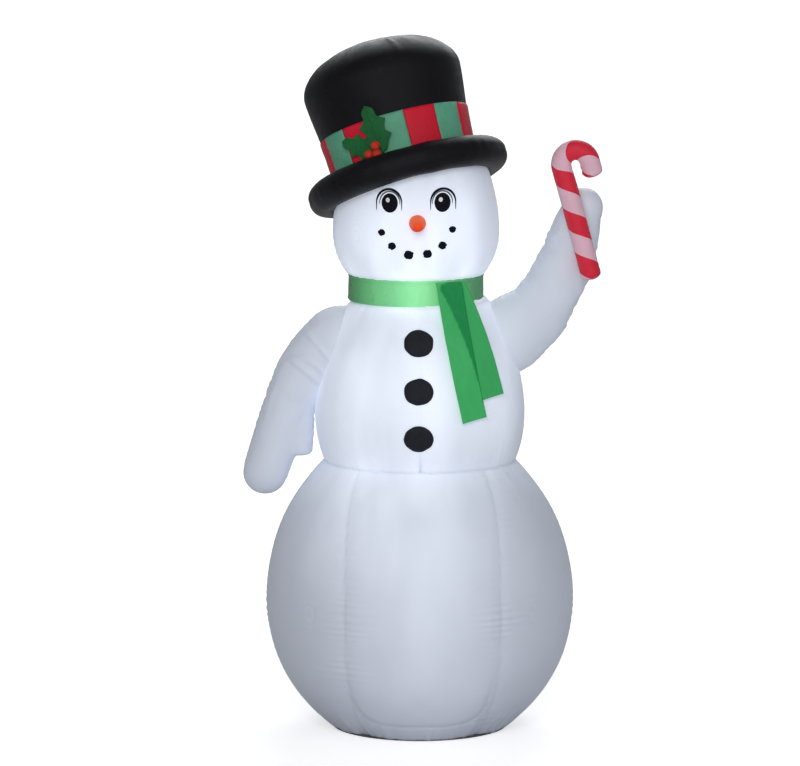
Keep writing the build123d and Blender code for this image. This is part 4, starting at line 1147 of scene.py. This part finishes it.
def thumb_grid(thumb):
    """A short tapered tube with a blunt end."""
    (x0, z0, r0), (x1, z1, r1) = thumb
    start, end = np.array((x0, 0, z0)), np.array((x1, 0, z1))
    along = (end - start) / np.linalg.norm(end - start)
    over = np.cross(along, (0, 1, 0))
    grid = []
    for share in np.linspace(0, 1, THUMB_RINGS):
        radius = r0 + (r1 - r0) * share
        grid.append(loop(start + (end - start) * share, over, THUMB_DEPTH, radius, ARM_ANGLES))
    for lean in CAP:
        centre = end + along * r1 * math.sin(lean) * THUMB_BLUNT
        grid.append(loop(centre, over, THUMB_DEPTH, r1 * math.cos(lean) ** 0.35, ARM_ANGLES))
    return np.array(grid)


def make_one_skin(piece):
    """Remesh overlapping forms as one smooth skin."""
    remesh = piece.modifiers.new("one_skin", "REMESH")
    remesh.mode = "VOXEL"
    remesh.voxel_size = VOXEL
    soften = piece.modifiers.new("soften", "SMOOTH")
    soften.factor = 0.5
    soften.iterations = SMOOTH_ROUNDS
    bpy.context.view_layer.update()
    shaped = piece.evaluated_get(bpy.context.evaluated_depsgraph_get())
    mesh = bpy.data.meshes.new_from_object(shaped)
    piece.modifiers.clear()
    piece.data = mesh
    mesh.shade_smooth()


def place_along(points, centres):
    """How far along a path of (x, z) centres each point lies."""
    lengths = lengths_along(centres)
    along, nearest = np.zeros(len(points)), np.full(len(points), np.inf)
    for start, end, before in zip(centres, centres[1:], lengths):
        step = end - start
        share = np.clip((points - start) @ step / (step @ step), 0, 1)
        gap = np.linalg.norm(points - start - share[:, None] * step, axis=1)
        closer = gap < nearest
        nearest[closer] = gap[closer]
        along[closer] = (before + share * np.linalg.norm(step))[closer]
    return along


def pucker(sleeve, arm, seed):
    """Sink the seam that runs round the arm's outline and raise gathers and creases beside it."""
    mesh = sleeve.data
    points, normals = np.zeros((2, len(mesh.vertices) * 3))
    mesh.vertices.foreach_get("co", points)
    mesh.vertices.foreach_get("normal", normals)
    points, normals = points.reshape(-1, 3), normals.reshape(-1, 3)
    along = place_along(points[:, (0, 2)], np.array(arm)[:, :2])
    off_seam = np.abs(points[:, 1])
    gathers = np.sin(along / 0.024 * TAU + 1.8 * ripple(along * 5, seed))
    strength = 0.5 + 0.5 * ripple(along * 3.5, seed + 2)
    wrinkles = 0.0022 * strength * gathers * np.exp(-off_seam / 0.035)
    creases = ripple2(along * 7.0 + off_seam * 4, off_seam * 8 - along * 2, seed + 4)
    creases = creases * bell(along - 0.24, 0.18)
    broad = ripple2(along * 1.8, off_seam * 4, seed + 6)
    lift = wrinkles + 0.0042 * creases + 0.0020 * broad - 0.0030 * bell(off_seam, 0.006)
    points = points + normals * lift[:, None]
    mesh.vertices.foreach_set("co", points.ravel())
    mesh.update()


def make_mitten(name, node, body, arm, thumb, seed):
    """An air-filled sleeve ending in a mitten: sewn front to back along its outline, puckered at the seam."""
    forms = [closed_skin(name, grid, ARM_SNOW, body) for grid in (sleeve_grid(arm), thumb_grid(thumb))]
    sleeve = join(name, forms)
    make_one_skin(sleeve)
    sleeve.data.materials.clear()
    sleeve.data.materials.append(ARM_SNOW)
    pucker(sleeve, arm, seed)
    # Painted seam shade along the seam round the sleeve's outline
    mark(sleeve, "seam", [0.25 * bell(vertex.co.y, 0.0035) for vertex in sleeve.data.vertices])
    settle(sleeve, node)


def make_arms():
    make_mitten("hanging_arm_sleeve", "hanging_arm", "arm_hanging", HANGING_ARM, HANGING_THUMB, seed=91)
    make_mitten("raised_arm_sleeve", "raised_arm", "arm_raised", RAISED_ARM, RAISED_THUMB, seed=95)


# --- Candy cane ---

CANE_FOOT, CANE_LEAN = (0.520, -0.116, 1.389), math.radians(15.5)
CANE_RIGHT = np.array((math.cos(CANE_LEAN), 0, math.sin(CANE_LEAN)))
CANE_UP = np.array((-math.sin(CANE_LEAN), 0, math.cos(CANE_LEAN)))
CANE_FRONT = np.array((0, -1, 0))
SHAFT, HOOK, TIP, TUBE = 0.351, 0.043, 0.052, 0.031    # the hook and the tube by their radius
HOOK_END = SHAFT + math.pi * HOOK
CANE_LENGTH = HOOK_END + TIP
END_ROUND = TUBE * 0.55
STRIPE_PITCH, STRIPE_SLANT, FIRST_STRIPE = 0.139, 0.66, 0.003
HOOK_LEAD, LEAD_START, LEAD_SPAN = 0.024, 0.335, 0.05   # the stripes of the hook's panel are shifted


def cane_place(s):
    """The middle of the cane at a distance along it, and the outward side of its bend."""
    if s < SHAFT:
        return CANE_UP * s, CANE_RIGHT
    if s < HOOK_END:
        turn = (s - SHAFT) / HOOK
        outward = CANE_RIGHT * math.cos(turn) - CANE_UP * math.sin(turn)
        right, up = HOOK - HOOK * math.cos(turn), SHAFT + HOOK * math.sin(turn)
        return CANE_RIGHT * right + CANE_UP * up, outward
    return CANE_RIGHT * 2 * HOOK + CANE_UP * (SHAFT + HOOK_END - s), -CANE_RIGHT


def make_cane():
    """An air-filled tube with a hook, printed with slanted stripes."""
    end_steps = END_ROUND * (1 - np.cos(np.linspace(0.25, math.pi / 2, 9)))
    middle = np.linspace(TUBE * 0.6, CANE_LENGTH - TUBE * 0.6, 120)
    angle = circle(40)
    side = wrap_angle(angle)
    from_left = np.where(angle < math.pi, math.pi / 2 - angle, angle - 1.5 * math.pi)
    grid, stripe = [], []
    for s in (*end_steps, *middle, *(CANE_LENGTH - end_steps[::-1])):
        to_end = min(s, CANE_LENGTH - s)
        radius = TUBE * math.sqrt(max(0.0, 1 - max(0.0, 1 - to_end / END_ROUND) ** 2))
        puckers = 0.0009 * math.sin(s * 330) * bell(side, 0.7) * (1 if s > SHAFT - 0.02 else 0.5)
        radius = radius + puckers - 0.0006 * bell(side, 0.12)
        radius = radius + 0.0007 * around(angle + s * 6, seed=7.7, count=3)
        place, outward = cane_place(s)
        grid.append(loop(place + CANE_FOOT, outward, CANE_FRONT, radius, angle))
        lead = HOOK_LEAD * np.clip((s - LEAD_START) / LEAD_SPAN, 0, 1)
        stripe.append((s - FIRST_STRIPE + lead + from_left * TUBE * STRIPE_SLANT) / STRIPE_PITCH)
    stripe = np.array(stripe)
    cane = closed_skin("candy_cane_skin", np.array(grid)[:, ::-1], CANDY, "cane")
    mark(cane, "stripe", [*stripe[:, ::-1].ravel(), stripe[0].mean(), stripe[-1].mean()])
    settle(cane, "candy_cane")


# --- Blower sleeve, ballast, eyelets ---

SLEEVE_ROOT_Y, FRILL_LENGTH = 0.270, 0.012     # the sleeve starts inside the ball and ends in a frill
SLEEVE_CLOTH, SLEEVE_PLEATS = 0.0012, 34
BAG_HALF, BAG_HEIGHT, BAG_FROM_EDGE = (0.078, 0.048), 0.019, 0.080
EYELET_R, EYELET_ROLL, EYELET_HEIGHT = 0.0075, 0.0014, 0.0021


def make_blower_sleeve():
    """The gathered fabric tube that the drawstring ties round the blower."""
    low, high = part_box("blower_sleeve")
    centre_z = (low.z + high.z) / 2
    reach = (high.x - low.x) / 2 - SLEEVE_CLOTH
    cord_y = sum(corner.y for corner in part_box("drawstring")) / 2
    theta = circle(408)
    pleats = np.sin(theta * SLEEVE_PLEATS + 1.5 * around(theta, 5, 9))
    grid = []
    for y in np.linspace(SLEEVE_ROOT_Y, high.y + FRILL_LENGTH, 90):
        tie = bell(y - cord_y, 0.005)
        frill = np.clip((y - cord_y - 0.003) / 0.014, 0, 1)
        folds = pleats * (0.0007 + 0.0030 * frill + 0.0008 * bell(y - cord_y, 0.04)) * (1 - 0.8 * tie)
        radius = reach + 0.0016 + folds - 0.0012 * tie + 0.004 * frill
        radius = radius + 0.0012 * around(theta + y, seed=6.5, count=7) * (1 - tie)
        grid.append(turned(radius, theta, y)[:, (0, 2, 1)] + (0, 0, centre_z))
    points = np.array(grid)[:, ::-1]
    sleeve = new_piece("blower_sleeve_cloth", points, quads(*points.shape[:2]), ARM_SNOW, "base")
    modifier = sleeve.modifiers.new("cloth_thickness", "SOLIDIFY")
    modifier.thickness = SLEEVE_CLOTH
    modifier.offset = -1.0
    modifier.use_even_offset = False
    stands_for(sleeve, "blower_sleeve")


def squared(value):
    """A sine or cosine pushed towards its ends, so that a circle nears a rectangle."""
    return np.sign(value) * np.abs(value) ** 0.45


def make_ballast():
    """Two sewn sandbags lying inside the ball."""
    low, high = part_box("ballast_bags")
    bags = []
    for side in (-1, 1):
        centre = (side * (high.x - BAG_FROM_EDGE), (low.y + high.y) / 2, (low.z + high.z) / 2)
        polar, turn = np.meshgrid(np.linspace(0.1, math.pi - 0.1, 30), circle(48), indexing="ij")
        x = BAG_HALF[0] * squared(np.cos(turn)) * np.sin(polar) ** 0.6
        y = BAG_HALF[1] * squared(np.sin(turn)) * np.sin(polar) ** 0.6
        z = BAG_HEIGHT * np.cos(polar) + 0.0015 * around(turn, seed=66.0 + side, count=5)
        bags.append(closed_skin("bag", (np.stack([x, y, z], 2) + centre)[::-1], SACK, "base"))
    stands_for(join("ballast_sandbags", bags), "ballast_bags")


def make_grommets(prefix, body):
    """Rolled brass eyelets, one at each mount whose name starts with a word."""
    rims = []
    for mount in frame["record"]["mounts"]:
        if not mount["name"].startswith(prefix):
            continue
        axis = Vector(mount["axis"]).normalized()
        one = axis.orthogonal().normalized()
        two = axis.cross(one)
        angle = circle(48)
        rolls = [
            loop(Vector(mount["pos_m"]) + axis * (EYELET_HEIGHT * math.sin(roll)), one, two,
                 EYELET_R + EYELET_ROLL * math.cos(roll), angle)
            for roll in circle(14)
        ]
        rims.append(ring_skin("rim", np.array(rolls), BRASS, body))
    rims = join(f"{prefix}_grommets", rims)
    stands_for(rims, f"{prefix}_eyelets")
    return rims


def make_eyelets():
    make_grommets("stake", "base")
    slump(make_grommets("tether", "torso"))


# --- CAD pieces that keep their shape ---

LAMPS = ("ball", "torso", "head")


def each_lamp(part):
    return " ".join(f"{lamp}_{part}" for lamp in LAMPS)


# The CAD pieces' materials, and how far their edges are softened
FINISHES = (
    (plastic("blower_black_plastic", (0.022, 0.022, 0.025), 0.45), 0.0006,
     "outlet_shell intake_shell finger_grilles motor_bracket blower_foot"),
    (plastic("fan_grey_plastic", (0.55, 0.56, 0.58), 0.35), 0.0004, "fan_impeller"),
    (plastic("adapter_black_plastic", (0.018, 0.018, 0.020), 0.4), 0, "power_adapter"),
    (plastic("cord_lock_plastic", (0.03, 0.03, 0.033), 0.38), 0.0003, "cord_lock_barrel cord_lock_plunger"),
    (plastic("cable_green_rubber", (0.012, 0.045, 0.018), 0.5), 0, "power_cord " + each_lamp("harness")),
    (plastic("lamp_socket_plastic", (0.72, 0.72, 0.70), 0.4), 0.0006, each_lamp("lamp_socket")),
    (plastic("zip_teeth_plastic", (0.62, 0.64, 0.68), 0.3), 0.0003, "zipper_teeth"),
    (metal("zip_nickel", (0.62, 0.62, 0.64), 0.28), 0.0003, "zipper_slider zipper_pull"),
    (metal("motor_zinc_steel", (0.50, 0.51, 0.53), 0.38), 0,
     "fan_motor fan_shaft housing_screws cord_lock_spring"),
    (metal("prong_brass", (0.74, 0.60, 0.30), 0.3), 0.0003, "plug_prongs"),
    (clear_globe(), 0, each_lamp("lamp_globe")),
    (led_light(), 0, each_lamp("lamp_led")),
    (CORD, 0, "drawstring"),
    (ZIP_TAPE, 0, "zipper_tape"),
    (HEAVY_CLOTH, 0.0005, "floor_panel"),
    (WEBBING, 0.0006, "stake_tabs tether_tabs"),
    (ARM_SNOW, 0.001, "cane_tab"),
)
SOFT_CAD = "tether_tabs cane_tab zipper_tape zipper_teeth " + each_lamp("harness")
HELD_LAMP_PARTS = [f"{lamp}_lamp_{part}" for lamp in ("torso", "head") for part in ("socket", "led", "globe")]


def finish_cad(material, edge, nodes):
    """Give CAD pieces a material and soften their edges."""
    for node in nodes.split():
        piece = NODES[node]
        piece.data.materials.clear()
        piece.data.materials.append(material)
        if edge:
            bevel = piece.modifiers.new("soft_edges", "BEVEL")
            bevel.width = edge
            bevel.segments = 2
            bevel.limit_method = "ANGLE"
            bevel.angle_limit = math.radians(40)


def press_spring():
    """Give the cord lock's spring a mesh of its own."""
    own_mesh(NODES["cord_lock_spring"])


def finish_cad_pieces():
    for finish in FINISHES:
        finish_cad(*finish)
    for node in SOFT_CAD.split() + HELD_LAMP_PARTS:
        slump(NODES[node])
    press_spring()


# --- Floor, light and camera ---

FLOOR_HALF, FLOOR_Z = 40, -0.001
SKY_LIGHT = 0.27
AIM = Vector((0, 0, 1.1))
TARGET = Vector((-0.061, 0, 1.057))
DISTANCE, ELEVATION, FRAME_WIDTH, SENSOR = 15.8, math.radians(8.1), 2.44, 36.0


def make_floor():
    """A pale floor that looks as bright as the backdrop, and whiter further off."""
    square = ((-1, -1), (1, -1), (1, 1), (-1, 1))
    corners = [(x * FLOOR_HALF, y * FLOOR_HALF, FLOOR_Z) for x, y in square]
    floor = bpy.data.meshes.new("floor")
    floor.from_pydata(corners, [], [(0, 1, 2, 3)])
    ground = bpy.data.objects.new("floor", floor)
    SCENE.collection.objects.link(ground)
    recipe = Recipe("studio_floor")
    grey = recipe.mix(recipe.noise(3, 2), (0.72, 0.72, 0.73), (0.75, 0.75, 0.76))
    seen = recipe.add("ShaderNodeLightPath").outputs["Is Camera Ray"]
    away = recipe.add("ShaderNodeVectorMath", operation="LENGTH")
    recipe.feed(away.inputs[0], recipe.place)
    paleness = recipe.maths("MINIMUM", recipe.maths("MULTIPLY_ADD", away.outputs["Value"], 0.05, 0.58), 1.0)
    glow = recipe.maths("MULTIPLY", seen, paleness)
    recipe.look(colour=grey, roughness=0.9, light_colour=(1, 1, 1), light=glow)
    floor.materials.append(recipe.material)


def make_world():
    """A white backdrop that lights the figure only softly."""
    world = bpy.data.worlds.new("studio")
    world.use_nodes = True
    nodes, links = world.node_tree.nodes, world.node_tree.links
    seen, lit = nodes.new("ShaderNodeBackground"), nodes["Background"]
    for background, colour, strength in ((seen, (1, 1, 1, 1), 1.0), (lit, (0.93, 0.96, 1.0, 1), SKY_LIGHT)):
        background.inputs[0].default_value = colour
        background.inputs[1].default_value = strength
    mix, path = nodes.new("ShaderNodeMixShader"), nodes.new("ShaderNodeLightPath")
    links.new(path.outputs["Is Camera Ray"], mix.inputs[0])
    links.new(lit.outputs[0], mix.inputs[1])
    links.new(seen.outputs[0], mix.inputs[2])
    links.new(mix.outputs[0], nodes["World Output"].inputs[0])
    SCENE.world = world


def aimed(thing, place, aim):
    """Put a lamp or a camera somewhere, looking at a point."""
    thing.location = place
    thing.rotation_euler = (aim - Vector(place)).to_track_quat("-Z", "Y").to_euler()
    SCENE.collection.objects.link(thing)


def soft_light(name, place, size, power, colour):
    data = bpy.data.lights.new(name, "AREA")
    data.energy, data.size, data.color = power, size, colour
    aimed(bpy.data.objects.new(name, data), place, AIM)


def make_camera():
    data = bpy.data.cameras.new("camera")
    data.sensor_width = SENSOR
    data.lens = SENSOR * DISTANCE / FRAME_WIDTH
    data.clip_end = 200
    view = bpy.data.objects.new("camera", data)
    aimed(view, TARGET + Vector((0, -math.cos(ELEVATION), math.sin(ELEVATION))) * DISTANCE, TARGET)
    SCENE.camera = view


make_ball()
make_torso()
make_head()
make_eyes()
make_mouth()
make_buttons()
make_nose()
make_hat_crown()
make_hat_brim()
make_hat_band()
make_holly()
make_neck_band()
make_tails()
make_arms()
make_cane()
make_blower_sleeve()
make_ballast()
make_eyelets()
finish_cad_pieces()
make_floor()
make_world()
soft_light("key", (-0.5, -7.5, 4.0), 2.6, 235, (1.0, 0.98, 0.95))
soft_light("fill", (4.5, -4.0, 2.5), 4.0, 26, (0.94, 0.97, 1.0))
soft_light("back", (0.5, 5.0, 4.5), 4.0, 150, (0.97, 0.98, 1.0))
make_camera()
SCENE.view_settings.view_transform = "Standard"
